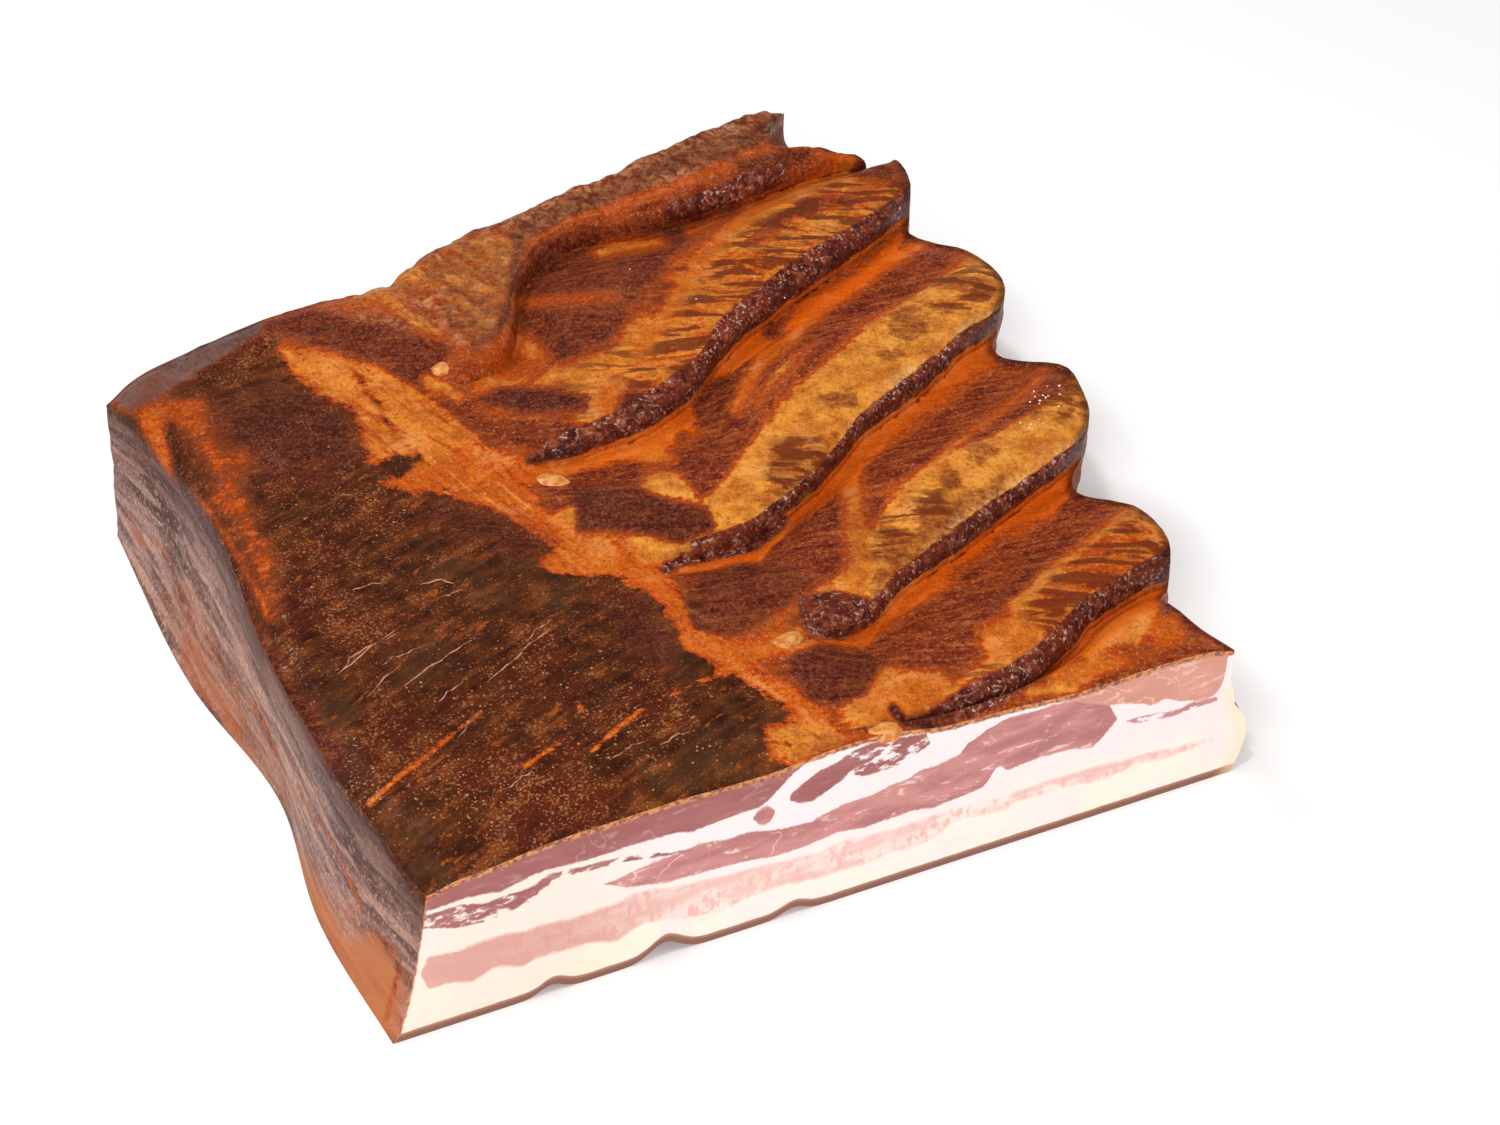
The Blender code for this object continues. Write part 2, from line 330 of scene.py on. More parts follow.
rise = ease(share / RISE_END[band])
z_top = deck(x_top, y_top)
z_top = np.where(
    band == 0,
    z_top + BORDER_RISE * ease((x_top - 70) / 30) * (1 - share),
    z_top - LIP_DROP * here_above * (1 - rise),
)
brow = LIP_BROW * ease((share - 0.93) / 0.07)
fall = np.where(wall > 0, LIP_BROW + (1 - LIP_BROW) * ease(wall) ** 0.9, np.where(band < len(LIPS), brow, 0))
z_top = z_top - LIP_DROP * here_below * fall
last = band == len(LIPS)
z_top = np.where(last, z_top + (cut_crest(x_top) - z_top) * ease(share), z_top)
side_gap = np.minimum(u, 1 - u) * (right_edge(y_top) - left_edge(y_top))
z_top = z_top - EDGE_FALL * np.exp(-((side_gap / EDGE_WIDTH) ** 2))
z_top = z_top - np.where(band == 0, EDGE_FALL * (1 - ease(share / 0.12)), 0)
print("points of the top and the walls:", len(z_top))

# %% [markdown]
# Two shallow troughs follow the fat band and the left edge. Each is a broken line with a soft width. The same
# distance to a line serves again below, where patches are painted.


# %% Dents
def line_gap(line, x, y):
    """Distance from each point to a broken line, and the share of the way along it."""
    best, place = np.full(len(x), 1e9), np.zeros(len(x))
    for i, (a, b) in enumerate(zip(line, line[1:])):
        run = (b[0] - a[0]) ** 2 + (b[1] - a[1]) ** 2
        t = np.clip(((x - a[0]) * (b[0] - a[0]) + (y - a[1]) * (b[1] - a[1])) / run, 0, 1)
        gap = np.hypot(x - a[0] - t * (b[0] - a[0]), y - a[1] - t * (b[1] - a[1]))
        place = np.where(gap < best, i + t, place)
        best = np.minimum(best, gap)
    return best, place


dents = [deep * np.exp(-((line_gap(line, x_top, y_top)[0] / half) ** 2)) for deep, half, line in DENTS]
z_top = z_top - np.max(dents, axis=0) * np.where(last, ease((1 - share) / 0.5), 1)
print("top from", z_top.min().round(1), "to", z_top.max().round(1), "mm")

# %% Form of the walls and the foot
foot_back = guide_y[band, each] - np.where(band > 0, wall_reach(0.0, 1.0), 0)
y_foot = foot_back + share * (front_y - foot_back) - np.where(wall > 0, wall_reach(0.0, wall), 0)
x_foot = left_foot(y_foot) + u * (right_foot(y_foot) - left_foot(y_foot))
fold = sum(rise_ * np.exp(-(((x_foot - at) / half) ** 2)) for at, rise_, half in FOLDS)
z_foot = fold * (1 - ease(y_foot / FOLD_LENGTH))
z_foot = np.where(z_foot < 0.03, 0, z_foot)
lean_out = FACE_LEAN * (1 - ease(y_foot / 50))

left_flare = level**0.75
right_flare = ease((level - FLAP_SHARE[0]) / (FLAP_SHARE[1] - FLAP_SHARE[0]))
flare = left_flare + (right_flare - left_flare) * u
bulge = FAT_BULGE * np.sin(np.pi * np.minimum(level / FLAP_SHARE[0], 1)) * ease((u - 0.8) / 0.2)
x = x_foot + (x_top - x_foot) * flare + bulge
y = (y_foot - lean_out) + (y_top - (y_foot - lean_out)) * level
z = z_foot + (z_top - z_foot) * level
print("volume of the box it fills, litres:", round(np.ptp(x) * np.ptp(y) * np.ptp(z) / 1e6, 2))

# %% [markdown]
# ## Relief
# The rib side isn't smooth. The plateaus carry shallow furrows where fibres were torn, the lips are crumbled,
# the broad muscle on the left has dried into raised cracks, and the border is a rough ridge.
# Each kind of relief gets its own mask, so it fades out where it doesn't belong.

# %% Relief of the top
FIELD_TURN, RIB_TURN = 21, -20  # degrees: the fibres of the broad muscle, and the furrows of the plateaus
ribs = np.maximum(here_above, here_below)
spot = np.stack([x_top, y_top, 0 * x_top], axis=1)
bed_end = RISE_END[band]
plateau = ribs * ease((share - bed_end) / 0.12) * (band > 0) * (band < len(LIPS))
slope = ribs * (1 - ease((share - bed_end + 0.06) / 0.10)) * (band > 0)
near_lip = here_below * np.where(wall > 0, 1, ease((share - 0.93) / 0.07)) * (band < len(LIPS))
rim_start = np.array([0.972, 0.93, 0.978, 0.978, 0.95, 2.0])[band]
rim = np.where(wall > 0, 1 - ease((wall - 0.36) / 0.30), ease((share - rim_start) / 0.02))
rim = (rim * (1 + 0.35 * noise(spot, 5, 13)) - 0.2 * noise(spot, 2, 14)) * here_below * (band < len(LIPS))
border = (band == 0) * (1 - near_lip) * ease((x_top - 20) / 40)
field = 1 - ribs
relief = 0.45 * noise(spot, 15, 1) + 0.28 * noise(spot, 6.5, 2)
furrow = np.sin(2 * math.pi * (turned(x_top, y_top, RIB_TURN)[:, 1] / 2.8 + 0.8 * noise(spot, 7, 3)))
relief = relief - 0.32 * plateau * np.maximum(furrow - 0.2, 0) * (0.6 + 0.5 * noise(spot, 9, 4))
relief = relief + 0.20 * slope * noise(turned(x_top, y_top, -1), [9, 1.3, 1], 5)
relief = relief + near_lip * (0.42 * noise(spot, 1.7, 6) + 0.50 * noise(spot, 4.0, 7))
relief = relief + border * (0.95 * noise(spot, 4.0, 8) + 0.50 * noise(spot, 1.9, 9))
cracks = np.maximum(1 - 7 * np.abs(noise(turned(x_top, y_top, FIELD_TURN), [15, 3.0, 1], 10)), 0)
relief = relief + field * (0.30 * cracks * ease(noise(spot, 20, 11) + 0.4))
relief = relief + field * 0.22 * noise(turned(x_top, y_top, FIELD_TURN), [7, 1.5, 1], 12)
relief = relief * np.where(last, 1 - 0.6 * ease((share - 0.9) / 0.1), 1)
z = z + relief * level**2
print("relief from", relief.min().round(2), "to", relief.max().round(2), "mm")

# %% Relief of the walls
left_wall = (addresses[:, 0] == 0) * np.sin(np.pi * np.clip(level, 0, 1))
right_wall = (addresses[:, 0] == 1) * np.sin(np.pi * np.clip(level, 0, 1))
back_wall = (addresses[:, 1] == 1) * np.sin(np.pi * np.clip(level, 0, 1))
place = np.stack([x, y, z], axis=1)
streaks = noise(place, [14, 16, 2.2], 20) * 0.7 + noise(place, [5, 6, 1.4], 21) * 0.35
lumps = noise(place, [9, 9, 6], 22)
x = x + left_wall * (-0.55 * streaks) + right_wall * (0.9 * streaks + 0.9 * lumps)
y = y + back_wall * (0.7 * streaks + 0.8 * lumps)
points = np.stack([x + CORNER[0], y + CORNER[1], z], axis=1)
print("box in mm:", points.min(axis=0).round(1), points.max(axis=0).round(1))

# %% [markdown]
# ## The body
# The lattice takes its form, and its faces are sorted by where they are: the fresh cut, the rind below, and
# the smoked crust. The flat part of the underside is dissolved into one face, as thousands of faces on a
# plane would say nothing.

# %% Body
CRUST, CUT, RIND = range(3)
for vert, place_ in zip(slab_bm.verts, points):
    vert.co = place_ * MM
slab_bm.normal_update()
slab_bm.verts.index_update()
is_cut = addresses[:, 1] == 0
is_under = addresses[:, 2] == 0
for face in slab_bm.faces:
    ids = [v.index for v in face.verts]
    if all(is_under[i] for i in ids):
        face.material_index = RIND
    elif all(is_cut[i] for i in ids):
        face.material_index = CUT
    face.smooth = True
layer = slab_bm.verts.layers.int.new("station")
for i, vert in enumerate(slab_bm.verts):
    vert[layer] = i
flat = [f for f in slab_bm.faces if f.material_index == RIND and all(v.co.z == 0 for v in f.verts)]
bmesh.ops.dissolve_faces(slab_bm, faces=flat, use_verts=False)
bmesh.ops.triangulate(slab_bm, faces=[f for f in slab_bm.faces if len(f.verts) > 4])
for edge in slab_bm.edges:
    if len({f.material_index for f in edge.link_faces}) > 1:
        edge.smooth = False
body_mesh = bpy.data.meshes.new("pork_belly_body")
slab_bm.to_mesh(body_mesh)
slab_bm.free()
body = bpy.data.objects.new("pork_belly_body", body_mesh)
bpy.context.scene.collection.objects.link(body)
station = np.empty(len(body_mesh.vertices), dtype=np.int32)
body_mesh.attributes["station"].data.foreach_get("value", station)
body_mesh.attributes.remove(body_mesh.attributes["station"])
body_mesh.calc_loop_triangles()
print("body triangles:", len(body_mesh.loop_triangles))

# %% [markdown]
# ## Painting what lies where
# On real smoked belly, fat is orange to yellow and lean is dark brown, with crisp ragged borders. We keep a
# few numbers on every point, such as how far inside fat it is, how yellow, how dark and how furrowed.
# The shader turns them into colours, and roughens the borders with noise, which is finer than the mesh.
# A picture texture could do this too, but it would smear on the sides.
# The slab's form gives the first layout, which also holds where the camera doesn't see.

# %% First layout from the form
paint = {}
bed_reach = np.array([0.02, 0.30, 0.12, 0.20, 0.22, 0.35])[band]
slope_reach = np.array([0.0, 0.36, 0.46, 0.56, 0.60, 0.55])[band]
is_slope = (share > bed_reach) & (share < slope_reach)
fat_first = np.where(is_slope, -1.0, 1.0) * ease(ribs * 3) - (1 - ease(ribs * 3))
fat_first = np.where(band == 0, -0.6 + 0.6 * noise(spot, 9, 30), fat_first)
fat_first = np.where(last & (share > 0.55), -0.3 + 0.9 * noise(spot, 8, 31), fat_first)
paint["fat_here"] = fat_first
plateau_gold = np.array([0.0, 0.6, 0.9, 0.9, 0.5, 0.2])[band]
plateau_furrow = np.array([0.0, 1.0, 0.12, 0.12, 1.0, 0.4])[band]
paint["yellow_here"] = np.where(share > slope_reach, plateau_gold, 0.1)
paint["dark_here"] = 0.1 * slope
paint["furrow_here"] = plateau * (1 - near_lip) * plateau_furrow
paint["stain_here"] = 0 * u
paint["lip_here"] = 0 * u
paint["brown_here"] = 0 * u
paint["dust_here"] = 0.75 * border * (1 - ease((share - 0.45) / 0.2))
paint["flare_here"] = 0 * u
paint["seam_here"] = 0 * u
# Painted light: the start of each bed, just under a lip, is marked here to be painted a brighter orange
# against the lip's shade.
paint["painted_light_here"] = here_above * (1 - ease((share - bed_reach) / 0.14)) * (band > 1) * (wall == 0)
paint["height_here"] = level
on_wall = (addresses[:, 0] == 0) | (addresses[:, 1] == 1)
paint["wall_here"] = np.where(on_wall, 1 - ease((level - 0.86) / 0.14), 0)
paint["flank_here"] = np.where(addresses[:, 0] == 1, 1 - ease((level - 0.84) / 0.12), 0)
picture_x, picture_y = in_picture(points)
print("painted numbers:", ", ".join(paint))

# %% [markdown]
# Then come the patches that the eye picks out, as strokes with a width, outlined regions and oval dots. Each
# sets its numbers inside its line, with a soft step of a few pixels that the shader's noise breaks up.
# The patches are rows of tables, laid in order, and each row's name says what it is on the meat.

# %% Strokes and regions
on_top = (addresses[:, 2] == 1) | (addresses[:, 0] == 0)


def stroke(line, width):
    """How far inside a stroke each point is, in pixels. A pair of widths is for its start and its end."""
    first, final = width if isinstance(width, tuple) else (width, width)
    gap, place = line_gap(line, picture_x, picture_y)
    return (first + (final - first) * place / (len(line) - 1)) / 2 - gap


def region(outline):
    """How far inside an outlined region each point is, in pixels."""
    ring = outline + outline[:1]
    gap, _ = line_gap(ring, picture_x, picture_y)
    inside = np.zeros(len(picture_x), bool)
    for (ax, ay), (bx, by) in zip(ring, ring[1:]):
        if ay != by:
            crossing = (ay > picture_y) != (by > picture_y)
            inside ^= crossing & (picture_x < ax + (picture_y - ay) * (bx - ax) / (by - ay))
    return np.where(inside, gap, -gap)


def lay(inside, soft=9.0, **targets):
    """Moves each named number to its target where a stroke or region covers the top."""
    amount = np.where(on_top, np.clip(0.5 + inside / soft, 0, 1), 0)
    for name, target in targets.items():
        paint[name + "_here"] = paint[name + "_here"] * (1 - amount) + target * amount


def dot(x_, y_, across, tall=None):
    """How far inside an oval patch each point is, in pixels."""
    tall = tall or across
    reach = np.hypot((picture_x - x_) / across * 2, (picture_y - y_) / tall * 2)
    return (1 - reach) * min(across, tall) / 2


def lay_all(patches):
    """Lays named patches in order. A row holds the numbers that it sets, then one or more shapes."""
    for targets, *shapes in patches.values():
        for inside in shapes:
            lay(inside, **targets)


print("points that can be painted:", int(on_top.sum()))

# %% [markdown]
# The left half is one broad dried muscle, and a band of orange fat divides it from the ribs. The band's two
# edges are lists of knots, because the muscle and the band share one of them.

# %% The broad muscle and the fat band
seam_left = [(286, 363), (298, 385), (332, 397), (351, 411), (347, 445), (366, 462), (376, 467), (417, 458),
             (385, 482), (417, 494), (458, 501), (490, 513), (511, 530), (536, 540), (560, 568), (614, 577),
             (647, 596), (681, 633), (720, 668), (789, 708), (827, 740)]
seam_right = [(281, 346), (320, 348), (342, 353), (376, 363), (390, 373), (410, 382), (434, 397), (451, 409),
              (478, 438), (502, 455), (531, 467), (526, 479), (543, 501), (550, 518), (579, 540), (620, 542),
              (668, 572), (684, 600), (712, 640), (745, 662), (800, 690), (836, 724)]
SMOOTH_SKIN = [
    [(216, 400), (300, 385), (352, 415), (362, 450), (330, 475), (262, 480), (225, 440)],
    [(424, 500), (491, 515), (552, 545), (540, 562), (470, 532), (428, 518)],
    [(600, 590), (640, 600), (676, 640), (668, 668), (630, 640)],
]
VEINS = [
    [(369, 804), (400, 776), (434, 750), (458, 730), (481, 712)],
    [(525, 766), (560, 743)],
    [(592, 752), (611, 734), (642, 709), (703, 680), (744, 664)],
    [(579, 706), (583, 712)],
]
lay_all({
    "broad_muscle": (dict(soft=24, fat=-1, furrow=0, brown=1),
        region([(90, 400), (281, 320)] + seam_right + [(850, 760), (380, 1000), (130, 600)])),
    "fat_band": (dict(soft=22, fat=0.8, yellow=0.05, furrow=0, lip=0, dark=0, seam=1),
        region(seam_left + seam_right[::-1])),
    "golden_upper_band": (dict(fat=0.8, yellow=0.5),
        region([(281, 344), (390, 371), (478, 438), (420, 470), (350, 440), (300, 385)])),
    "split_in_the_band": (dict(fat=-0.2, dark=0.3),
        stroke([(356, 375), (381, 409), (395, 438), (419, 450)], 4)),
    "lean_tongue": (dict(fat=-1, dark=0.5), region([(376, 470), (396, 455), (424, 457), (400, 476)])),
    "fat_spur": (dict(fat=1, yellow=0.2), dot(574, 557, 84, 36)),
    "round_fat_end": (dict(fat=1, yellow=0.2), dot(744, 620, 24)),
    "small_fat_end": (dict(fat=1, yellow=0.1), dot(716, 648, 26, 16)),
    "maroon_lens": (dict(fat=-1.1, dark=0.5, furrow=0, dust=0, brown=0),
        region([(264, 324), (313, 307), (361, 322), (410, 332), (453, 348), (424, 392), (376, 363),
        (313, 344)])),
    "smooth_skin": (dict(soft=26, fat=-1.1, brown=0.55, dark=0.62),
        *(region(smooth_patch) for smooth_patch in SMOOTH_SKIN)),
    "fat_veins": (dict(soft=7, fat=0.9, yellow=0.65), *(stroke(vein, (6, 3)) for vein in VEINS)),
})
print("fat in the field:", int((paint["fat_here"] > 0).sum()), "points")

# %% [markdown]
# The back border is a rough ridge. Golden fat with torn furrows lies at its left end. From there a brown
# ridge runs to the right with a thin line of pale fat under it. Strokes suit what is long and thin.

# %% The back border
lay_all({
    "furrowed_gold": (
        dict(soft=14, fat=0.45, yellow=0.85, furrow=0.4, seam=0.9, dust=0.25, stain=0.55, dark=0.15),
        region([(413, 270), (450, 238), (519, 227), (530, 246), (514, 278), (513, 321), (490, 344),
        (468, 350), (439, 338), (385, 300)])),
    "gold_corner": (dict(soft=10, fat=0.5, yellow=0.85, furrow=0, seam=0.5, dust=0.1, stain=0.4, dark=0.1),
        region([(330, 300), (366, 288), (420, 262), (440, 300), (453, 340), (425, 335), (400, 318),
        (366, 308)])),
    "soft_gold_end": (dict(soft=12, fat=0.2, yellow=0.6, dust=0.5, seam=0.6),
        region([(390, 292), (430, 285), (470, 330), (455, 344), (420, 318)])),
    "border_shadow": (dict(soft=8, dark=0.85, fat=-0.8),
        stroke([(519, 234), (512, 290), (506, 318), (490, 338), (472, 350)], 6)),
    "brown_ridge": (dict(fat=-0.9, brown=0.6, dust=0.35),
        stroke([(519, 232), (570, 212), (640, 178), (681, 158), (722, 150), (785, 122)], 18)),
    "fat_under_ridge": (dict(fat=0.5, yellow=0, dust=0.25, furrow=0),
        stroke([(535, 245), (570, 220), (621, 207), (680, 184), (726, 166), (771, 146)], 9)),
    "dark_ridge_end": (dict(fat=-1, dark=0.6, dust=0),
        stroke([(742, 165), (783, 158), (803, 155)], 12)),
    "fat_by_the_nub": (dict(fat=1.1, yellow=0.6, dark=0, furrow=0),
        stroke([(428, 380), (456, 398)], 13)),
})
print("border done")

# %% [markdown]
# Behind the first flap a rib has left a smooth dark bed. Fat shows through it in streaks, and two lenses of
# lean lie at its left end, one nearly black and one red.

# %% The bed behind the first flap
lay_all({
    "dark_bed": (dict(soft=16, fat=-1, yellow=0, furrow=0, dark=0.5),
        region([(513, 300), (514, 278), (530, 250), (560, 236), (640, 222), (700, 202), (775, 180),
        (792, 184), (740, 216), (690, 246), (662, 272), (640, 305), (612, 345), (560, 366), (540, 345),
        (514, 325)])),
    "gold_streak": (dict(soft=12, fat=0.6, yellow=0.5, dark=0),
        region([(590, 250), (612, 238), (660, 236), (668, 246), (640, 252), (600, 262)])),
    "fat_streak": (dict(soft=12, fat=0.5, yellow=0, dark=0),
        stroke([(516, 303), (560, 300), (618, 297)], 8)),
    "right_fat_streak": (dict(soft=12, fat=0.5, yellow=0.4, dark=0),
        stroke([(690, 232), (716, 222), (745, 198)], 9)),
    "lean_spot": (dict(fat=-1, dark=0.4), dot(728, 209, 24, 18)),
    "lean_streak": (dict(fat=-1, dark=0.3), stroke([(762, 190), (801, 175)], 10)),
    "broad_lean_spot": (dict(soft=14, fat=-1, dark=0.45), dot(628, 272, 70, 30)),
    "back_lip": (dict(fat=-1, lip=1, dark=0.15),
        stroke([(676, 208), (700, 202), (722, 190), (745, 177), (778, 172)], (14, 9))),
    "bed_floor": (dict(soft=14, fat=0.1, yellow=0, furrow=0, dark=0.2),
        region([(464, 350), (500, 343), (545, 362), (540, 380), (500, 378)])),
    "dark_lens": (dict(fat=-1, dark=0.75, furrow=0),
        region([(473, 400), (500, 387), (560, 388), (591, 398), (585, 412), (520, 414)])),
    "red_lens": (dict(soft=12, fat=-1, dark=0.1),
        region([(440, 392), (475, 412), (560, 416), (596, 430), (543, 458), (490, 440), (455, 415)])),
})
print("first bed done")

# %% [markdown]
# The first flap is a plateau of golden fat with furrows across it, edged by a pale band. The furrows are one
# number here, and the shader draws them, so that they can be finer than the mesh.

# %% The first flap
lay_all({
    "furrowed_flap": (dict(soft=14, fat=0.4, yellow=0.75, furrow=1.15, dark=0.05, stain=0.3),
        region([(862, 160), (906, 185), (800, 268), (735, 318), (680, 385), (622, 430), (632, 380),
        (648, 340), (690, 290), (725, 245), (800, 195)])),
    "pale_band": (dict(fat=1, yellow=0.15, furrow=0.1, dark=0),
        stroke([(846, 163), (803, 187), (754, 208), (711, 247), (677, 296), (652, 332), (640, 350)],
        17)),
    "lean_above_band": (dict(soft=8, fat=-0.6, dark=0.15),
        stroke([(830, 163), (790, 184), (744, 204), (700, 243), (668, 290), (642, 326)], 6)),
    "lean_in_band": (dict(fat=-1, dark=0.3), stroke([(852, 198), (803, 206), (754, 240)], 7)),
    "fat_end": (dict(fat=1, yellow=0.1, furrow=0, dark=0.12),
        region([(599, 377), (625, 380), (632, 436), (610, 446), (590, 420)])),
    "dark_spot": (dict(fat=-1, dark=0.45), dot(637, 405, 40, 34)),
    "lean_spot": (dict(fat=-1, dark=0.35),
        region([(690, 405), (702, 380), (730, 375), (744, 400), (722, 425), (696, 420)])),
    "small_lean_spot": (dict(fat=-1, dark=0.3), dot(773, 330, 20)),
    "dark_tip": (dict(fat=-1, dark=0.35), dot(880, 172, 44, 22)),
    "lip_tail": (dict(fat=-1, lip=0.5, dark=0.95), stroke([(531, 460), (560, 455), (604, 443)], 9)),
    "flap_edge": (dict(fat=-1, dark=0.5), stroke([(903, 173), (907, 202), (930, 234)], 10)),
})
print("first flap done")

# %% [markdown]
# The middle ribs repeat one order from the back to the front: pale fat in the bed, a red slope of lean, a
# golden plateau with brown stains, and furrows at both of its ends. A loop over the ribs would be shorter,
# but each patch has an outline of its own, so each stays a row that is told apart by its name.

# %% Beds, slopes and plateaus between the lips
HOLLOW_SPOTS = [(595, 475, 34, 13), (625, 466, 34, 12), (681, 451, 30, 13), (684, 437, 18, 14)]
SECOND_PLATEAU_STAINS = [
    (962, 278, 40, 14), (979, 293, 36, 10), (955, 309, 66, 7), (907, 326, 42, 34),
    (888, 355, 28, 12), (840, 399, 44, 20), (799, 453, 52, 26), (789, 474, 46, 18),
]
THIRD_PLATEAU_STAINS = [
    (1060, 390, 36, 26), (1035, 412, 16, 14), (1067, 413, 22, 10), (981, 453, 34, 18),
    (952, 480, 22, 20), (930, 510, 34, 26), (897, 536, 50, 12), (886, 552, 46, 9),
]
lay_all({
    "second_bed_fat": (dict(fat=1, yellow=0.05, furrow=0, dark=0),
        stroke([(930, 242), (885, 263), (844, 296), (813, 310), (791, 340), (762, 361), (748, 383),
        (736, 410)], 13)),
    "second_bed_lean": (dict(soft=14, fat=-0.9, dark=0.1),
        stroke([(905, 222), (850, 268), (804, 296), (770, 330)], 12)),
    "fat_spot": (dict(fat=1, yellow=0.1), dot(811, 312, 26, 22)),
    "gold_hollow": (dict(fat=1, yellow=0.5, dark=0),
        region([(573, 451), (620, 432), (664, 419), (700, 430), (676, 462), (573, 470)])),
    "hollow_spots": (dict(fat=-1, dark=0.1), *(dot(*oval) for oval in HOLLOW_SPOTS)),
    "gold_spot": (dict(fat=1, yellow=0.9), dot(662, 479, 34, 16)),
    "second_slope": (dict(soft=20, fat=-1, dark=0),
        stroke([(952, 251), (905, 283), (860, 312), (820, 351), (783, 395), (754, 422)], 26)),
    "second_slope_foot": (dict(fat=-1, dark=0.15),
        region([(677, 470), (720, 424), (775, 405), (770, 440), (735, 480), (700, 499)])),
    "dark_lens": (dict(fat=-1, dark=0.75, furrow=0),
        region([(573, 488), (636, 486), (668, 499), (707, 507), (720, 529), (681, 544), (651, 536),
        (614, 531), (577, 533)])),
    "second_plateau": (dict(fat=1, yellow=0.85, dark=0),
        stroke([(926, 300), (885, 334), (844, 365), (803, 395), (781, 422), (755, 460), (733, 494),
        (733, 529)], (14, 34))),
    "second_tip_furrows": (dict(soft=14, furrow=1),
        region([(938, 268), (990, 262), (1010, 290), (985, 312), (940, 312), (925, 296)])),
    "second_foot_furrows": (dict(soft=14, furrow=1, stain=0.4),
        region([(768, 440), (835, 432), (832, 470), (800, 500), (765, 495)])),
    "second_plateau_stains": (dict(soft=12, stain=1), *(dot(*oval) for oval in SECOND_PLATEAU_STAINS)),
    "third_bed_fat": (dict(fat=1.2, yellow=0.5, dark=0, furrow=0),
        stroke([(992, 334), (968, 364), (929, 391), (899, 418), (869, 449), (842, 484)], (26, 14))),
    "fat_wedge": (dict(fat=1, yellow=0.0, dark=0),
        region([(707, 556), (768, 551), (760, 566), (712, 568)])),
    "third_slope": (dict(soft=26, fat=-1, dark=0),
        stroke([(1028, 364), (986, 388), (944, 424), (899, 460), (860, 496), (818, 541)], 40)),
    "third_slope_foot": (dict(fat=-1, dark=0.2),
        region([(766, 560), (800, 520), (860, 490), (885, 500), (870, 560), (800, 598)])),
    "third_fat_line": (dict(fat=1, yellow=0.4),
        stroke([(1049, 361), (1031, 388), (992, 418), (950, 448), (914, 484), (890, 517), (860, 550)],
        6)),
    "third_plateau": (dict(fat=1, yellow=0.95),
        stroke([(1070, 430), (1030, 445), (992, 460), (920, 508), (880, 545)], 30)),
    "third_tip_furrows": (dict(soft=14, furrow=0.9),
        region([(1040, 375), (1075, 372), (1094, 410), (1060, 420), (1030, 405)])),
    "third_foot_furrows": (dict(soft=14, furrow=1, stain=0.3),
        region([(880, 515), (945, 480), (950, 520), (900, 560), (868, 560)])),
    "third_plateau_stains": (dict(soft=12, stain=1), *(dot(*oval) for oval in THIRD_PLATEAU_STAINS)),
    "fat_bridge": (dict(soft=16, fat=0.9, yellow=0.35, stain=0),
        stroke([(850, 470), (858, 560), (846, 590)], 20)),
    "dark_end": (dict(fat=-1, dark=0.55, furrow=0),
        region([(684, 600), (700, 575), (740, 562), (800, 566), (812, 590), (790, 606), (760, 628),
        (725, 640), (696, 632)])),
    "gold_rim": (dict(soft=14, fat=0.1, yellow=0.6, furrow=0, stain=0.6),
        region([(752, 625), (790, 604), (812, 592), (806, 615), (800, 632), (770, 640)])),
    "fat_below": (dict(soft=14, fat=0.8, yellow=0.2, dark=0),
        stroke([(690, 640), (735, 652), (770, 648), (800, 640)], 22)),
    "lip_knob": (dict(fat=-1, lip=0.85, dark=0.25),
        region([(797, 598), (835, 590), (870, 600), (885, 612), (868, 628), (840, 640), (808, 638),
        (798, 620)])),
    "second_lip_tail": (dict(fat=-1, lip=1, dark=0.3),
        stroke([(780, 521), (752, 545), (715, 553), (682, 560), (668, 568)], (15, 11))),
})
print("middle ribs done")

# %% [markdown]
# The last bed is short and ends at the cut. The fourth lip is drawn as one region, as its width changes all
# along, and a broad lens of dark lean lies where it ends.

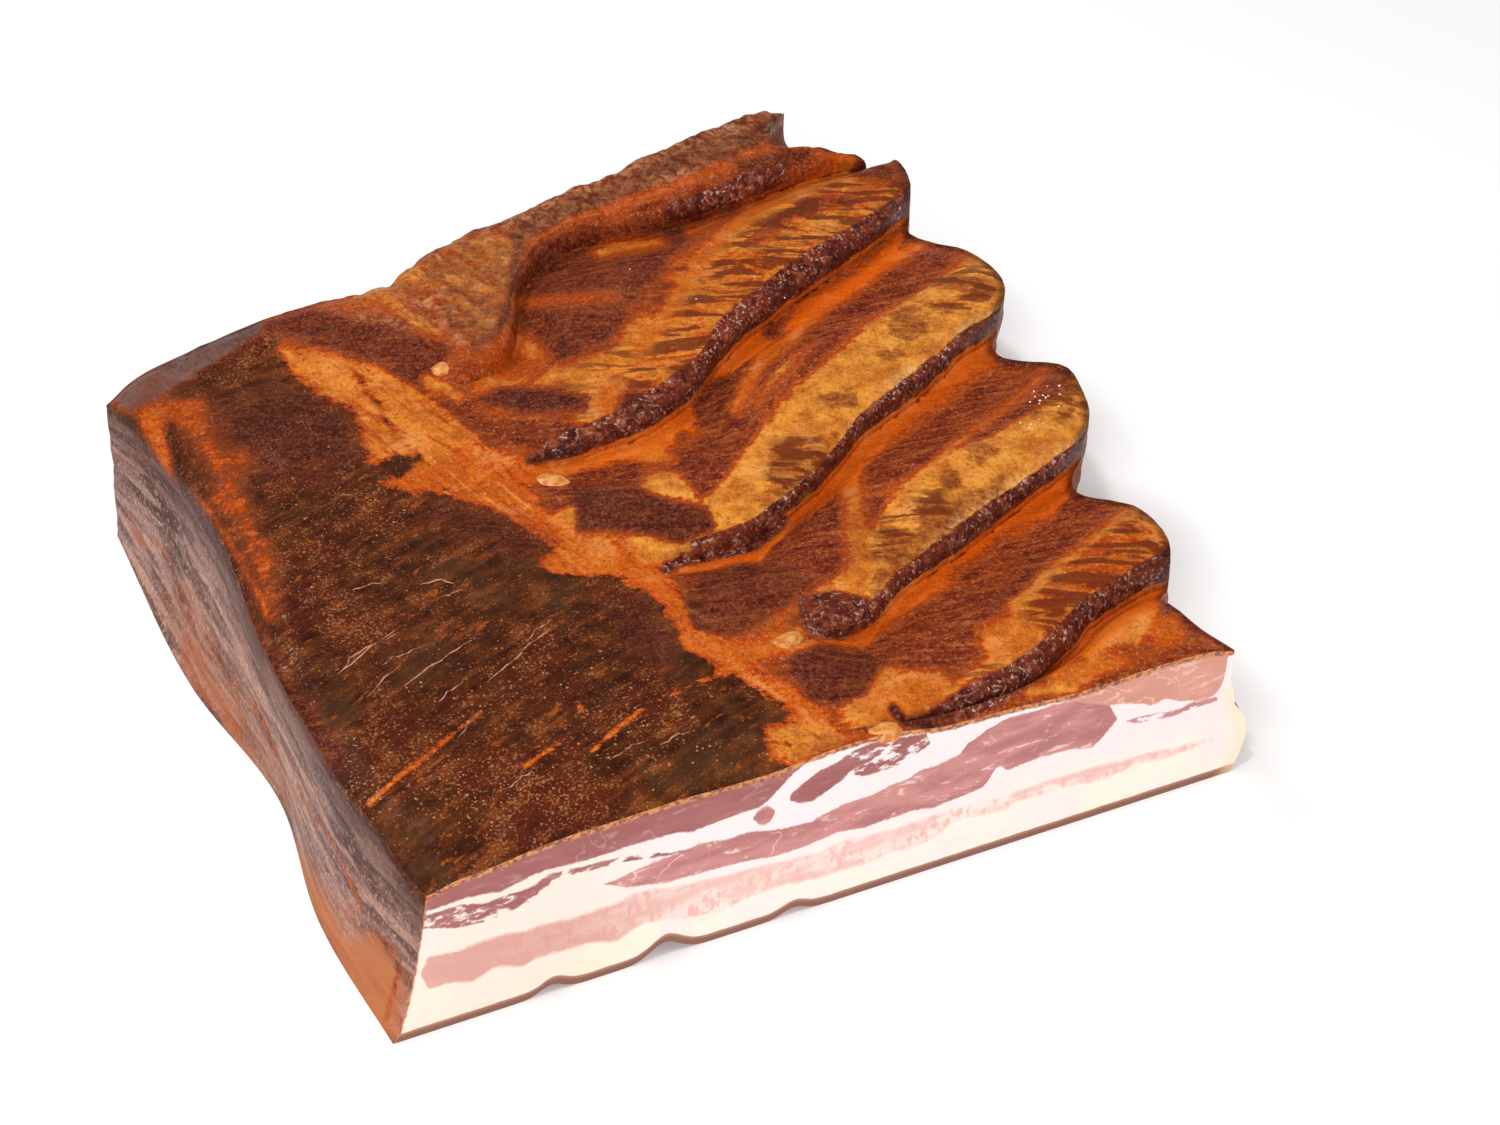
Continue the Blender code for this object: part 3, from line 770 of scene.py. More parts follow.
# %% The last bed and the front
lay_all({
    "fourth_bed_fat": (dict(fat=1, yellow=0.1, dark=0),
        stroke([(1076, 454), (1070, 478), (1034, 490), (1010, 508), (986, 529), (968, 550)], 24)),
    "fourth_slope": (dict(soft=22, fat=-1, dark=0),
        stroke([(1115, 499), (1085, 517), (1046, 532), (1010, 550), (968, 580), (937, 620)], 30)),
    "slope_foot": (dict(fat=-1, dark=0.3),
        region([(861, 652), (916, 609), (968, 590), (937, 639), (890, 660)])),
    "fourth_plateau": (dict(soft=14, fat=0.3, yellow=0.6, furrow=1.1, stain=0.35),
        region([(1136, 505), (1172, 556), (1148, 572), (1111, 590), (1080, 612), (1050, 640),
        (1028, 645), (1020, 610), (1042, 578), (1083, 545)])),
    "plateau_fat_line": (dict(fat=1, yellow=0.5, furrow=0, stain=0),
        stroke([(1138, 507), (1115, 520), (1083, 545), (1042, 578), (1025, 598)], 8)),
    "plateau_fat_end": (dict(fat=1, yellow=0.3, dark=0, furrow=0),
        region([(985, 625), (1020, 612), (1042, 630), (1030, 655), (1000, 660), (985, 650)])),
    "front_lean": (dict(soft=14, fat=-1, yellow=0, dark=0.1, furrow=0),
        region([(880, 632), (930, 600), (1000, 596), (1010, 612), (978, 630), (985, 662), (950, 680),
        (905, 672), (868, 655)])),
    "front_fat": (dict(soft=14, fat=0.9, yellow=0.25, furrow=0, dark=0),
        region([(862, 690), (900, 675), (940, 672), (950, 690), (928, 712), (895, 722), (862, 706)])),
    "dark_front_lens": (dict(fat=-1, dark=0.65, furrow=0),
        region([(785, 660), (820, 643), (869, 650), (880, 670), (866, 694), (835, 706), (812, 700)])),
    "fourth_lip": (dict(soft=8, fat=-1, lip=0.9, dark=0.25, furrow=0, stain=0),
        region([(1172, 545), (1150, 566), (1111, 588), (1080, 610), (1050, 645), (1020, 662),
        (975, 680), (945, 700), (922, 716), (905, 722), (930, 726), (968, 719), (1000, 706),
        (1024, 689), (1047, 670), (1063, 648), (1082, 621), (1111, 600), (1148, 578), (1175, 560)])),
    "fourth_lip_tail": (dict(soft=8, fat=-1, lip=0.8, dark=0.8),
        stroke([(893, 709), (905, 722), (935, 727)], 9)),
    "dark_lip_end": (dict(fat=-1, lip=0.6, dark=0.9), dot(1170, 557, 18, 22)),
    "stained_tip": (dict(soft=20, stain=0.55), dot(930, 303, 56, 30)),
    "last_bed_fat": (dict(fat=0.9, yellow=0.2, dark=0),
        stroke([(1150, 596), (1130, 640), (1097, 668), (1062, 680)], 24)),
    "last_bed_gold": (dict(fat=1, yellow=0.5, dark=0, stain=0.3),
        region([(1070, 632), (1110, 606), (1148, 592), (1160, 612), (1130, 642), (1090, 660),
        (1070, 652)])),
    "edge_lean": (dict(fat=-0.9, dark=0.1),
        stroke([(1180, 600), (1198, 643), (1150, 668), (1100, 684)], 16)),
    "lean_spot": (dict(soft=12, fat=-0.6, dark=0.2), dot(1128, 650, 36, 12)),
    "gold_line": (dict(fat=1, yellow=0.9), stroke([(1031, 692), (1073, 688)], 9)),
    "gold_by_the_cut": (dict(soft=18, fat=0.55, yellow=0.7, seam=0.6, dark=0.05, stain=0.35),
        region([(762, 728), (800, 716), (862, 735), (840, 750), (790, 770), (770, 758)])),
})
print("front bed done")

# %% [markdown]
# Smoke has dried every lip to a dark rim. The mesh knows where its lips are, so the rims need no outline.
# They come from each point's place on the lip, with a painted cream highlight along the brow of two of them,
# painted shade along each lip's lower edge and a dark end on each flap.

# %% The lips' dark rims
MIDDLE_TAIL, FRONT_TAIL, NO_TAIL = 684, 955, -100  # left of these pixels, painted tails take over
SLAB_WIDTH = 190.0  # mm between the sides
END_WIDTH = 1.8  # mm of a flap's end that smoke has darkened
has_lip = (band > 0) & (band < len(LIPS))
blade = ease((picture_x - 655) / 20) * (1 - ease((picture_x - 780) / 12))
tail = np.where(band == 2, MIDDLE_TAIL, np.where(band == 4, FRONT_TAIL, NO_TAIL))
lip_share = ease(rim * 1.6) * np.where(band == 0, blade, 1) * ease((picture_x - tail) / 14)
paint["lip_here"] = np.maximum(paint["lip_here"], lip_share)
# Painted highlight: a cream line along the brow of the second and third lips, laid over pale fat.
cream_highlight = here_below * np.isin(band, (2, 3)) * ease((share - 0.955) / 0.02) * (wall == 0) * (1 - lip_share)
cream_highlight = cream_highlight * ease((x_top - 125) / 20) * ease(0.7 + noise(spot, 8, 15))
paint["fat_here"] = paint["fat_here"] * (1 - cream_highlight) + 1.1 * cream_highlight
paint["cream_highlight_here"] = cream_highlight
burnt = here_below * (band == 3) * ease((share - 0.86) / 0.06) * (wall == 0) * (1 - ease((x_top - 150) / 20))
paint["stain_here"] = np.maximum(paint["stain_here"], 0.8 * burnt)
# Painted shade: a darker band along the lower half of each lip's wall, under the lip.
painted_lip_shade = here_below * has_lip * ease((wall - 0.12) / 0.2) * (1 - ease((wall - 0.50) / 0.15))
paint["dark_here"] = np.maximum(paint["dark_here"], 0.55 * painted_lip_shade)
flap_rim = ease(1.4 - (1 - u) * SLAB_WIDTH / END_WIDTH) * (u > 0.5) * ribs
paint["dark_here"] = paint["dark_here"] * (1 - flap_rim) + 0.75 * flap_rim
under_lip = here_below * has_lip * ease((wall - 0.55) / 0.15)
paint["fat_here"] = paint["fat_here"] * (1 - under_lip) + 0.8 * under_lip
paint["yellow_here"] = paint["yellow_here"] * (1 - under_lip)
print("rim points:", int((lip_share > 0.5).sum()))

# %% [markdown]
# The left side is an old outer edge: dry and brown, with an orange corner and rust-coloured lines. It is seen
# from the front left, so its patches are painted on the wall as well as on the top.

# %% The left side
ORANGE_DOTS = [(241, 460, 26), (227, 500, 22), (262, 554, 24)]
RUST = [[(174, 584), (187, 613), (208, 642), (225, 664), (241, 688), (262, 718), (278, 755)],
        [(294, 782), (312, 811), (336, 849), (352, 886), (371, 929)]]
lay_all({
    "orange_corner": (dict(soft=30, fat=0.05, yellow=0.4, brown=0.45),
        stroke([(198, 425), (215, 460), (235, 500), (262, 560), (272, 612)], (34, 14))),
    "corner_skin": (dict(soft=12, fat=0.25, yellow=0.3, dark=0.32, brown=0, wall=0),
        region([(113, 405), (142, 396), (205, 402), (202, 426), (168, 426), (130, 414)])),
    "orange_strip": (dict(soft=10, fat=0.4, yellow=0.3, dark=0.05, brown=0),
        stroke([(148, 420), (163, 455), (171, 495), (180, 530)], (18, 9))),
    "dark_edge": (dict(soft=16, fat=-1.1, brown=0, dark=0.65),
        stroke([(186, 535), (208, 572), (235, 614), (264, 660), (297, 706), (335, 756)], 20)),
    "orange_dots": (dict(soft=20, fat=0.15, yellow=0.35, brown=0.3, dark=0.25),
        *(dot(*oval) for oval in ORANGE_DOTS)),
    # Painted shade: a dark line along the fold near the left corner.
    "painted_fold_shade": (dict(fat=-1, dark=0.8), stroke([(171, 424), (177, 452), (183, 490), (188, 528)], 6)),
    "orange_vein": (dict(fat=0.3, yellow=0.2, dark=0.1, brown=0.2),
        stroke([(200, 500), (225, 535), (245, 570), (262, 600), (268, 618)], 4)),
    "rust_line": (dict(fat=0.8, yellow=0.3, wall=0.4), stroke([(182, 648), (209, 701), (241, 736)], 7)),
    "back_edge_skin": (dict(soft=12, fat=-1, brown=0, wall=0.9),
        stroke([(130, 398), (190, 362), (250, 326)], 26)),
    "rust_lines": (dict(soft=8, fat=0.2, yellow=0.0, wall=0.35), *(stroke(line, 8) for line in RUST)),
    "corner_fat": (dict(soft=10, fat=0.4, yellow=0.4, wall=0.3),
        stroke([(376, 932), (400, 967), (386, 1020)], 7)),
    "foot_fat": (dict(soft=16, flare=1),
        region([(296, 842), (310, 866), (330, 903), (349, 938), (367, 932), (381, 937), (396, 958),
        (406, 985), (400, 1040), (370, 1040), (320, 930), (288, 850)])),
    "foot_glow": (dict(soft=30, flare=0.35), stroke([(182, 600), (240, 730), (290, 800)], 30)),
})
print("left side done")

# %% [markdown]
# ## The layers of the cut
# The cut shows nine layers and islets of lean in white fat, each between an upper and a lower line. For a
# point of the cut we keep how far it is below the one and above the other. Both change evenly over the face,
# so the border stays sharp between the mesh's points, and the shader roughens it.

# %% Layers
LAYERS = {
    "top_lean": (
        [(405, 905), (417, 896), (447, 886), (490, 867), (523, 851), (551, 840), (576, 832), (625, 818),
         (662, 802), (701, 792), (746, 782), (795, 764), (812, 756)],
        [(405, 916), (433, 911), (466, 899), (502, 892), (527, 878), (554, 868), (594, 858), (640, 843),
         (671, 834), (693, 831), (728, 818), (746, 811), (762, 806), (773, 796), (791, 776), (812, 757)],
    ),
    "second_lean": (
        [(405, 925), (435, 914), (464, 905), (486, 904), (511, 894), (535, 886), (549, 875), (574, 869),
         (605, 861), (641, 855), (656, 853), (674, 851), (700, 849)],
        [(405, 931), (433, 929), (456, 929), (482, 923), (507, 915), (523, 904), (535, 898), (541, 889),
         (574, 875), (605, 866), (641, 860), (674, 854), (700, 849)],
    ),
    "main_lean": (
        [(602, 885), (625, 876), (640, 869), (652, 863), (677, 853), (701, 843), (728, 839), (746, 833),
         (779, 829), (811, 822), (824, 814), (844, 804), (873, 794), (893, 784), (909, 779), (920, 771),
         (939, 765), (960, 755), (968, 744), (990, 729), (1008, 719), (1038, 711), (1076, 700), (1109, 704),
         (1118, 720)],
        [(602, 885), (633, 887), (666, 882), (700, 873), (738, 863), (771, 857), (803, 847), (836, 833),
         (865, 827), (885, 820), (911, 811), (932, 808), (960, 798), (984, 787), (991, 778), (996, 768),
         (1001, 766), (1007, 771), (1015, 768), (1038, 759), (1067, 751), (1093, 748), (1105, 736),
         (1118, 720)],
    ),
    "pale_lean": (
        [(420, 975), (429, 957), (460, 951), (482, 942), (502, 936), (527, 930), (543, 925), (580, 916),
         (605, 908), (635, 894), (666, 888), (700, 880), (726, 876), (746, 869), (783, 861), (824, 851),
         (844, 841), (885, 831), (916, 822), (962, 807), (1010, 795), (1046, 782), (1088, 769), (1130, 759),
         (1173, 748), (1215, 738)],
        [(420, 975), (429, 989), (447, 983), (472, 982), (494, 968), (523, 966), (535, 959), (554, 952),
         (588, 943), (617, 941), (629, 933), (645, 921), (666, 918), (697, 918), (722, 910), (746, 898),
         (783, 884), (824, 876), (865, 863), (895, 851), (926, 843), (962, 818), (1000, 812), (1021, 801),
         (1067, 788), (1109, 778), (1130, 767), (1173, 755), (1215, 742)],
    ),
    "tongue": (
        [(789, 800), (792, 793), (805, 782), (821, 770), (842, 759), (862, 757)],
        [(789, 800), (800, 803), (813, 801), (825, 793), (842, 780), (862, 757)],
    ),
    "islet": (
        [(752, 819), (758, 811), (766, 806), (777, 811)],
        [(752, 819), (760, 825), (769, 824), (777, 811)],
    ),
    "streaked_lean": (
        [(842, 758), (862, 746), (880, 740), (899, 737), (930, 733)],
        [(842, 770), (862, 776), (880, 772), (899, 764), (930, 745)],
    ),
    "right_lean": (
        [(1060, 698), (1088, 691), (1120, 679), (1152, 664), (1173, 656), (1200, 648), (1230, 640)],
        [(1060, 700), (1088, 705), (1109, 706), (1130, 704), (1152, 706), (1168, 700), (1181, 702),
         (1202, 701), (1214, 697), (1222, 688), (1227, 672), (1230, 655)],
    ),
    "thin_line": (
        [(1125, 722), (1137, 718), (1158, 714), (1173, 712), (1194, 703), (1220, 697)],
        [(1125, 722), (1137, 724), (1158, 720), (1173, 717), (1194, 709), (1220, 701)],
    ),
}
REACH_THE_CRUST = ("top_lean", "right_lean")
NO_LINE, OVER_THE_TOP = -99.0, 60.0  # heights that stand for no line, and for a line above the slab, mm
OUTSIDE, FAR_INSIDE = -4.0, 30.0  # limits of the kept distances, mm
for name, borders in LAYERS.items():
    lines = []
    for line in borders:
        places = np.array([on_cut(pixel) for pixel in line])
        places = places[np.argsort(places[:, 0])]
        lines.append(np.interp(x, places[:, 0], places[:, 1], left=NO_LINE, right=NO_LINE))
    if name in REACH_THE_CRUST:
        lines[0] = np.where(lines[0] == NO_LINE, NO_LINE, OVER_THE_TOP)
    outside = (lines[0] == NO_LINE) | (lines[1] == NO_LINE)
    for end, gap in (("_under", lines[0] - z), ("_over", z - lines[1])):
        paint[name + end] = np.clip(np.where(outside, OUTSIDE, gap), OUTSIDE, FAR_INSIDE)
paint["left_part"] = ease((62 - x) / 40)
paint["left_gap"] = u * SLAB_WIDTH
paint["right_gap"] = (1 - u) * SLAB_WIDTH + 12 * ease((level - 0.70) / 0.1)
paint["crust_depth"] = (z_top - z_foot) * (1 - level)
paint["rind_height"] = (z_top - z_foot) * level
print("layers:", ", ".join(LAYERS))

# %% [markdown]
# The numbers go onto the mesh as attributes, one for each name. An Attribute node reads them in the shader.

# %% Numbers onto the mesh
for name, values in paint.items():
    layer = body_mesh.attributes.new(name, "FLOAT", "POINT")
    layer.data.foreach_set("value", values[station].astype(np.float32))
print("numbers kept on each point:", len(paint))

# %% [markdown]
# ## Materials
# All surfaces are shader nodes. A few short helpers keep the recipes readable: each adds one node and
# gives back its output.

# %% Node helpers
def colour(red, green, blue):
    """A colour as an eye reads it, 0 to 255, turned into the linear values that a shader takes."""
    c = np.array([red, green, blue]) / 255
    return (*np.where(c <= 0.04045, c / 12.92, ((c + 0.055) / 1.055) ** 2.4).tolist(), 1.0)


def give(tree, socket, value):
    """Links a socket to another node's output, or sets it to a plain value."""
    if isinstance(value, bpy.types.NodeSocket):
        tree.links.new(value, socket)
    elif value is not None:
        socket.default_value = value


def blend(tree, amount, a, b):
    """A mix of two colours: a where the amount is 0, b where it is 1."""
    node = tree.nodes.new("ShaderNodeMix")
    node.data_type, node.blend_type, node.clamp_factor = "RGBA", "MIX", True
    for socket, value in zip((node.inputs[0], node.inputs[6], node.inputs[7]), (amount, a, b)):
        give(tree, socket, value)
    return node.outputs[2]


def calc(tree, operation, a, b=None, c=None, clamp=False):
    """One step of arithmetic."""
    node = tree.nodes.new("ShaderNodeMath")
    node.operation, node.use_clamp = operation, clamp
    for socket, value in zip(node.inputs, (a, b, c)):
        give(tree, socket, value)
    return node.outputs[0]


def tint(tree, base, mask, amount, tone):
    """Lays a tone over a base colour, as strongly as the mask times the amount says."""
    return blend(tree, calc(tree, "MULTIPLY", mask, amount), base, tone)


def push(tree, value, noise_, amount):
    """Moves a value up and down with a noise whose middle is 0.5."""
    return calc(tree, "MULTIPLY_ADD", calc(tree, "SUBTRACT", noise_, 0.5), amount, value)


def span(tree, value, low, high, to_low=0.0, to_high=1.0):
    """Turns low..high into to_low..to_high with soft ends."""
    node = tree.nodes.new("ShaderNodeMapRange")
    node.interpolation_type = "SMOOTHSTEP"
    for socket, item in zip(node.inputs, (value, low, high, to_low, to_high)):
        give(tree, socket, item)
    return node.outputs[0]


def grain(tree, vector, scale, detail=3.0, roughness=0.55, distortion=0.0):
    """Soft noise around 0.5. The scale is in lumps for each m."""
    node = tree.nodes.new("ShaderNodeTexNoise")
    for name, value in (("Vector", vector), ("Scale", scale), ("Detail", detail), ("Roughness", roughness),
                        ("Distortion", distortion)):
        give(tree, node.inputs[name], value)
    return node.outputs["Fac"]


def cells(tree, vector, scale):
    """Distance to the nearest of many scattered points."""
    node = tree.nodes.new("ShaderNodeTexVoronoi")
    for name, value in (("Vector", vector), ("Scale", scale)):
        give(tree, node.inputs[name], value)
    return node.outputs["Distance"]


def turn(tree, vector, degrees=0.0, stretch=(1, 1, 1)):
    """Turns a pattern about z, then stretches it."""
    node = tree.nodes.new("ShaderNodeMapping")
    node.vector_type = "POINT"
    spin = tree.nodes.new("ShaderNodeVectorRotate")
    spin.rotation_type = "Z_AXIS"
    give(tree, spin.inputs["Vector"], vector)
    give(tree, spin.inputs["Angle"], math.radians(-degrees))
    give(tree, node.inputs["Vector"], spin.outputs[0])
    give(tree, node.inputs["Scale"], stretch)
    return node.outputs[0]


def steps(tree, value, stops):
    """A colour for each (value, colour) stop, with even blends between."""
    node = tree.nodes.new("ShaderNodeValToRGB")
    give(tree, node.inputs[0], value)
    ramp = node.color_ramp
    while len(ramp.elements) < len(stops):
        ramp.elements.new(0.5)
    for element, (at, tone) in zip(ramp.elements, stops):
        element.position, element.color = at, colour(*tone)
    return node.outputs[0]


def kept(tree, name):
    """A number that each point of the body keeps."""
    node = tree.nodes.new("ShaderNodeAttribute")
    node.attribute_name = name
    return node.outputs["Fac"]


def new_group(name, takes, gives):
    """An empty node group with named inputs and outputs. Returns it, its inputs and its output node."""
    tree = bpy.data.node_groups.new(name, "ShaderNodeTree")
    for label, (kind, value) in takes.items():
        socket = tree.interface.new_socket(label, in_out="INPUT", socket_type=kind)
        if value is not None:
            socket.default_value = value
    for label, kind in gives.items():
        tree.interface.new_socket(label, in_out="OUTPUT", socket_type=kind)
    return tree, tree.nodes.new("NodeGroupInput").outputs, tree.nodes.new("NodeGroupOutput").inputs


def use(tree, group, **takes):
    """Places a node group in a material, with its inputs given by name."""
    node = tree.nodes.new("ShaderNodeGroup")
    node.node_tree = group
    for name, value in takes.items():
        give(tree, node.inputs[name.replace("_", " ").capitalize()], value)
    return node.outputs


def new_finish(name):
    """A new material. Gives back it, its node tree, its shader and the object's own coordinates."""
    finish = bpy.data.materials.new(name)
    finish.use_nodes = True
    tree = finish.node_tree
    return finish, tree, tree.nodes["Principled BSDF"], tree.nodes.new("ShaderNodeTexCoord").outputs["Object"]


def emboss(tree, shader, height, strength, distance):
    """Shades a surface as if it had a relief of this height. The distance is in m."""
    bump = tree.nodes.new("ShaderNodeBump")
    for name, value in (("Strength", strength), ("Distance", distance), ("Height", height)):
        give(tree, bump.inputs[name], value)
    give(tree, shader.inputs["Normal"], bump.outputs[0])


print("helpers are ready")

# %% [markdown]
# Fat and lean meet in a ragged line, which several finishes need. So it is a node group: it takes a number
# that is above zero inside, adds noise of a chosen size, and gives a mask with a crisp step.

# %% Shared effects
FLOAT, VECTOR = "NodeSocketFloat", "NodeSocketVector"
ragged, takes, gives = new_group(
    "ragged_border",
    {"Inside": (FLOAT, 0.0), "Vector": (VECTOR, None), "Size": (FLOAT, 400.0), "Rag": (FLOAT, 1.0),
     "Soft": (FLOAT, 0.1)},
    {"Mask": FLOAT},
)
wobble = grain(ragged, takes["Vector"], takes["Size"], 4.0, 0.65)
pushed = push(ragged, takes["Inside"], wobble, takes["Rag"])
mask = span(ragged, pushed, calc(ragged, "MULTIPLY", takes["Soft"], -1.0), takes["Soft"])
give(ragged, gives["Mask"], mask)

fibres, takes, gives = new_group(
    "meat_fibres",
    {"Vector": (VECTOR, None), "Scale": (FLOAT, 300.0)},
    {"Shade": FLOAT},
)
long_grain = grain(fibres, turn(fibres, takes["Vector"], 0, (0.14, 1.0, 1.0)), takes["Scale"], 5.0, 0.6, 0.4)
give(fibres, gives["Shade"], span(fibres, long_grain, 0.34, 0.66))


def ragged_mask(tree, inside, vector, size, rag, soft):
    """A mask with a ragged border, from a number that is above zero inside."""
    return use(tree, ragged, inside=inside, vector=vector, size=size, rag=rag, soft=soft)["Mask"]


print("shared effects:", [g.name for g in bpy.data.node_groups])

# %% [markdown]
# ### Smoked crust
# Smoke has browned the lean and turned the fat orange. The colours are laid over each other in the order in
# which they lie on the meat: lean, fat, furrows, dried lip, then dark smoke, which also carries the painted
# shade under the lips.

# %% Crust material
crust, tree, shader, where = new_finish("smoked_crust_finish")
field_fibres = use(tree, fibres, vector=turn(tree, where, FIELD_TURN), scale=520.0)
broad = grain(tree, where, 55.0, 4.0, 0.6)
medium = grain(tree, where, 170.0, 5.0, 0.65)
fine = grain(tree, where, 900.0, 4.0, 0.7)
rib_fibres = turn(tree, where, RIB_TURN, (0.18, 1.0, 1.0))
torn = grain(tree, rib_fibres, 520.0, 5.0, 0.65, 0.3)
print("noises for the crust:", sum(node.bl_idname == "ShaderNodeTexNoise" for node in tree.nodes))

# %% [markdown]
# Fat and lean grow into each other in threads. One number says how deep in fat a point is. Noise along the
# fibres pushes it up and down, and a ramp of colours reads it, so that a border is neither straight nor
# blurred. Two colours with a plain mask would be simpler, but they would look like paint.

# %% Crust: fat and lean
fatness = push(tree, kept(tree, "fat_here"), medium, 1.6)
fatness = push(tree, fatness, torn, 2.1)
seam_fibres = grain(tree, turn(tree, where, -69, (0.10, 1.0, 1.0)), 420.0, 4.0, 0.6, 0.3)
fatness = push(tree, fatness, seam_fibres, calc(tree, "MULTIPLY", kept(tree, "seam_here"), 2.4))
flecked = grain(tree, where, 780.0, 5.0, 0.7)
fatness = push(tree, fatness, flecked, 1.5)
tissue = steps(
    tree,
    calc(tree, "MULTIPLY_ADD", fatness, 0.36, 0.5),
    [(0.00, (92, 26, 14)), (0.10, (122, 42, 18)), (0.24, (150, 61, 21)), (0.36, (167, 73, 24)),
     (0.46, (168, 62, 10)), (0.54, (184, 71, 6)), (0.66, (192, 78, 5)), (0.82, (190, 80, 6)),
     (1.0, (206, 100, 20))],
)
yellow_mask = calc(tree, "MULTIPLY", kept(tree, "yellow_here"), span(tree, fatness, 0.1, 0.6))
golden = blend(tree, span(tree, medium, 0.42, 0.62), colour(230, 152, 56), colour(198, 112, 34))
tissue = blend(tree, yellow_mask, tissue, golden)
fat_mask = span(tree, fatness, 0.15, 0.6)
patchy = grain(tree, where, 95.0, 5.0, 0.65, 0.4)
tissue = tint(tree, tissue, fat_mask, span(tree, patchy, 0.5, 0.66, 0.0, 0.45), colour(232, 156, 84))
tissue = tint(tree, tissue, fat_mask, span(tree, patchy, 0.48, 0.36, 0.0, 0.5), colour(158, 76, 20))
tan = span(tree, calc(tree, "SUBTRACT", torn, calc(tree, "MULTIPLY", fatness, 0.06)), 0.60, 0.68)
tissue = tint(tree, tissue, tan, 0.35, colour(184, 106, 48))
sinews = calc(tree, "MULTIPLY", span(tree, seam_fibres, 0.46, 0.38), kept(tree, "seam_here"))
tissue = tint(tree, tissue, sinews, 0.65, colour(164, 62, 10))
pale_lines = calc(tree, "MULTIPLY", span(tree, seam_fibres, 0.60, 0.68), kept(tree, "seam_here"))
tissue = tint(tree, tissue, pale_lines, 0.5, colour(230, 146, 78))
# Painted highlights: pale freckles that stand for small glints on the meat.
painted_glint_freckles = span(tree, grain(tree, where, 1500.0, 2.0, 0.5), 0.60, 0.68)
tissue = tint(tree, tissue, painted_glint_freckles, 0.34, colour(226, 166, 116))
tissue = tint(tree, tissue, span(tree, fine, 0.46, 0.38), 0.34, colour(64, 20, 12))
tissue = tint(tree, tissue, span(tree, fine, 0.55, 0.63), 0.18, colour(236, 160, 104))
# Painted light: the beds under the lips are painted a brighter red-orange against the lip's shade.
painted_bed_light = calc(tree, "MULTIPLY", kept(tree, "painted_light_here"), span(tree, fatness, -0.2, 0.5))
tissue = tint(tree, tissue, painted_bed_light, 0.62, colour(232, 94, 6))
stain = push(tree, kept(tree, "stain_here"), medium, 1.5)
stain = push(tree, stain, flecked, 1.2)
stain = calc(tree, "MULTIPLY", span(tree, stain, 0.38, 0.68), span(tree, torn, 0.36, 0.54, 0.35, 1.0))
stain_tone = blend(tree, span(tree, flecked, 0.4, 0.6), colour(110, 44, 18), colour(164, 88, 38))
tissue = tint(tree, tissue, stain, 0.85, stain_tone)
# Painted highlight: the cream line along the brows of two lips.
cream_highlight = calc(tree, "MULTIPLY", kept(tree, "cream_highlight_here"), span(tree, flecked, 0.40, 0.56))
tissue = tint(tree, tissue, cream_highlight, 0.8, colour(240, 192, 128))
print("nodes for fat and lean:", len(tree.nodes))

# %% [markdown]
# The broad muscle on the left has dried almost flat. It is a dull brown with red and olive clouds, pale
# specks, dark pits and orange spots that lie along its fibres. Each is one noise with its own threshold.

# %% Crust: the broad muscle
brown = steps(
    tree, push(tree, medium, field_fibres["Shade"], 0.25),
    [(0.3, (52, 21, 12)), (0.44, (70, 32, 14)), (0.56, (86, 39, 16)), (0.7, (118, 58, 24))],
)
brown = tint(tree, brown, span(tree, broad, 0.5, 0.66), 0.45, colour(98, 30, 14))
brown = tint(tree, brown, span(tree, broad, 0.46, 0.32), 0.35, colour(84, 60, 36))
cluster = push(tree, grain(tree, where, 1700.0, 3.0, 0.6), medium, 0.35)
cluster = push(tree, cluster, broad, 0.25)
specks = span(tree, cluster, 0.57, 0.66)
brown = tint(tree, brown, specks, 0.48, colour(196, 134, 84))
pits = span(tree, grain(tree, where, 1000.0, 3.0, 0.6), 0.42, 0.34)
brown = tint(tree, brown, pits, 0.5, colour(36, 16, 12))
field_grain = grain(tree, turn(tree, where, FIELD_TURN, (0.4, 1.0, 1.0)), 430.0, 4.0, 0.6, 0.4)
orange_spots = span(tree, field_grain, 0.62, 0.70)
brown = tint(tree, brown, orange_spots, 0.55, colour(186, 92, 26))
field_mask = calc(tree, "MULTIPLY", kept(tree, "brown_here"), span(tree, fatness, 0.05, -0.25))
skin = blend(tree, field_mask, tissue, brown)
print("nodes with the broad muscle:", len(tree.nodes))

# %% [markdown]
# Furrows, lips, dark smoke and the painted shade under the lips come next. A lip is the driest part. One
# strongly wrinkled noise drives both its colour and its relief, so its colour is painted shade, nearly black,
# in its hollows and a painted pale pink highlight on its crumbs.

# %% Crust: furrows, lips and smoke
furrow_wave = grain(tree, turn(tree, where, RIB_TURN, (0.22, 1.0, 1.0)), 330.0, 3.0, 0.5, 0.5)
furrow_mask = span(tree, furrow_wave, 0.47, 0.56)
furrow_mask = calc(tree, "MULTIPLY", furrow_mask, kept(tree, "furrow_here"), clamp=True)
skin = tint(tree, skin, furrow_mask, 0.85, colour(106, 42, 18))
crinkle = grain(tree, where, 360.0, 7.0, 0.74, 0.8)
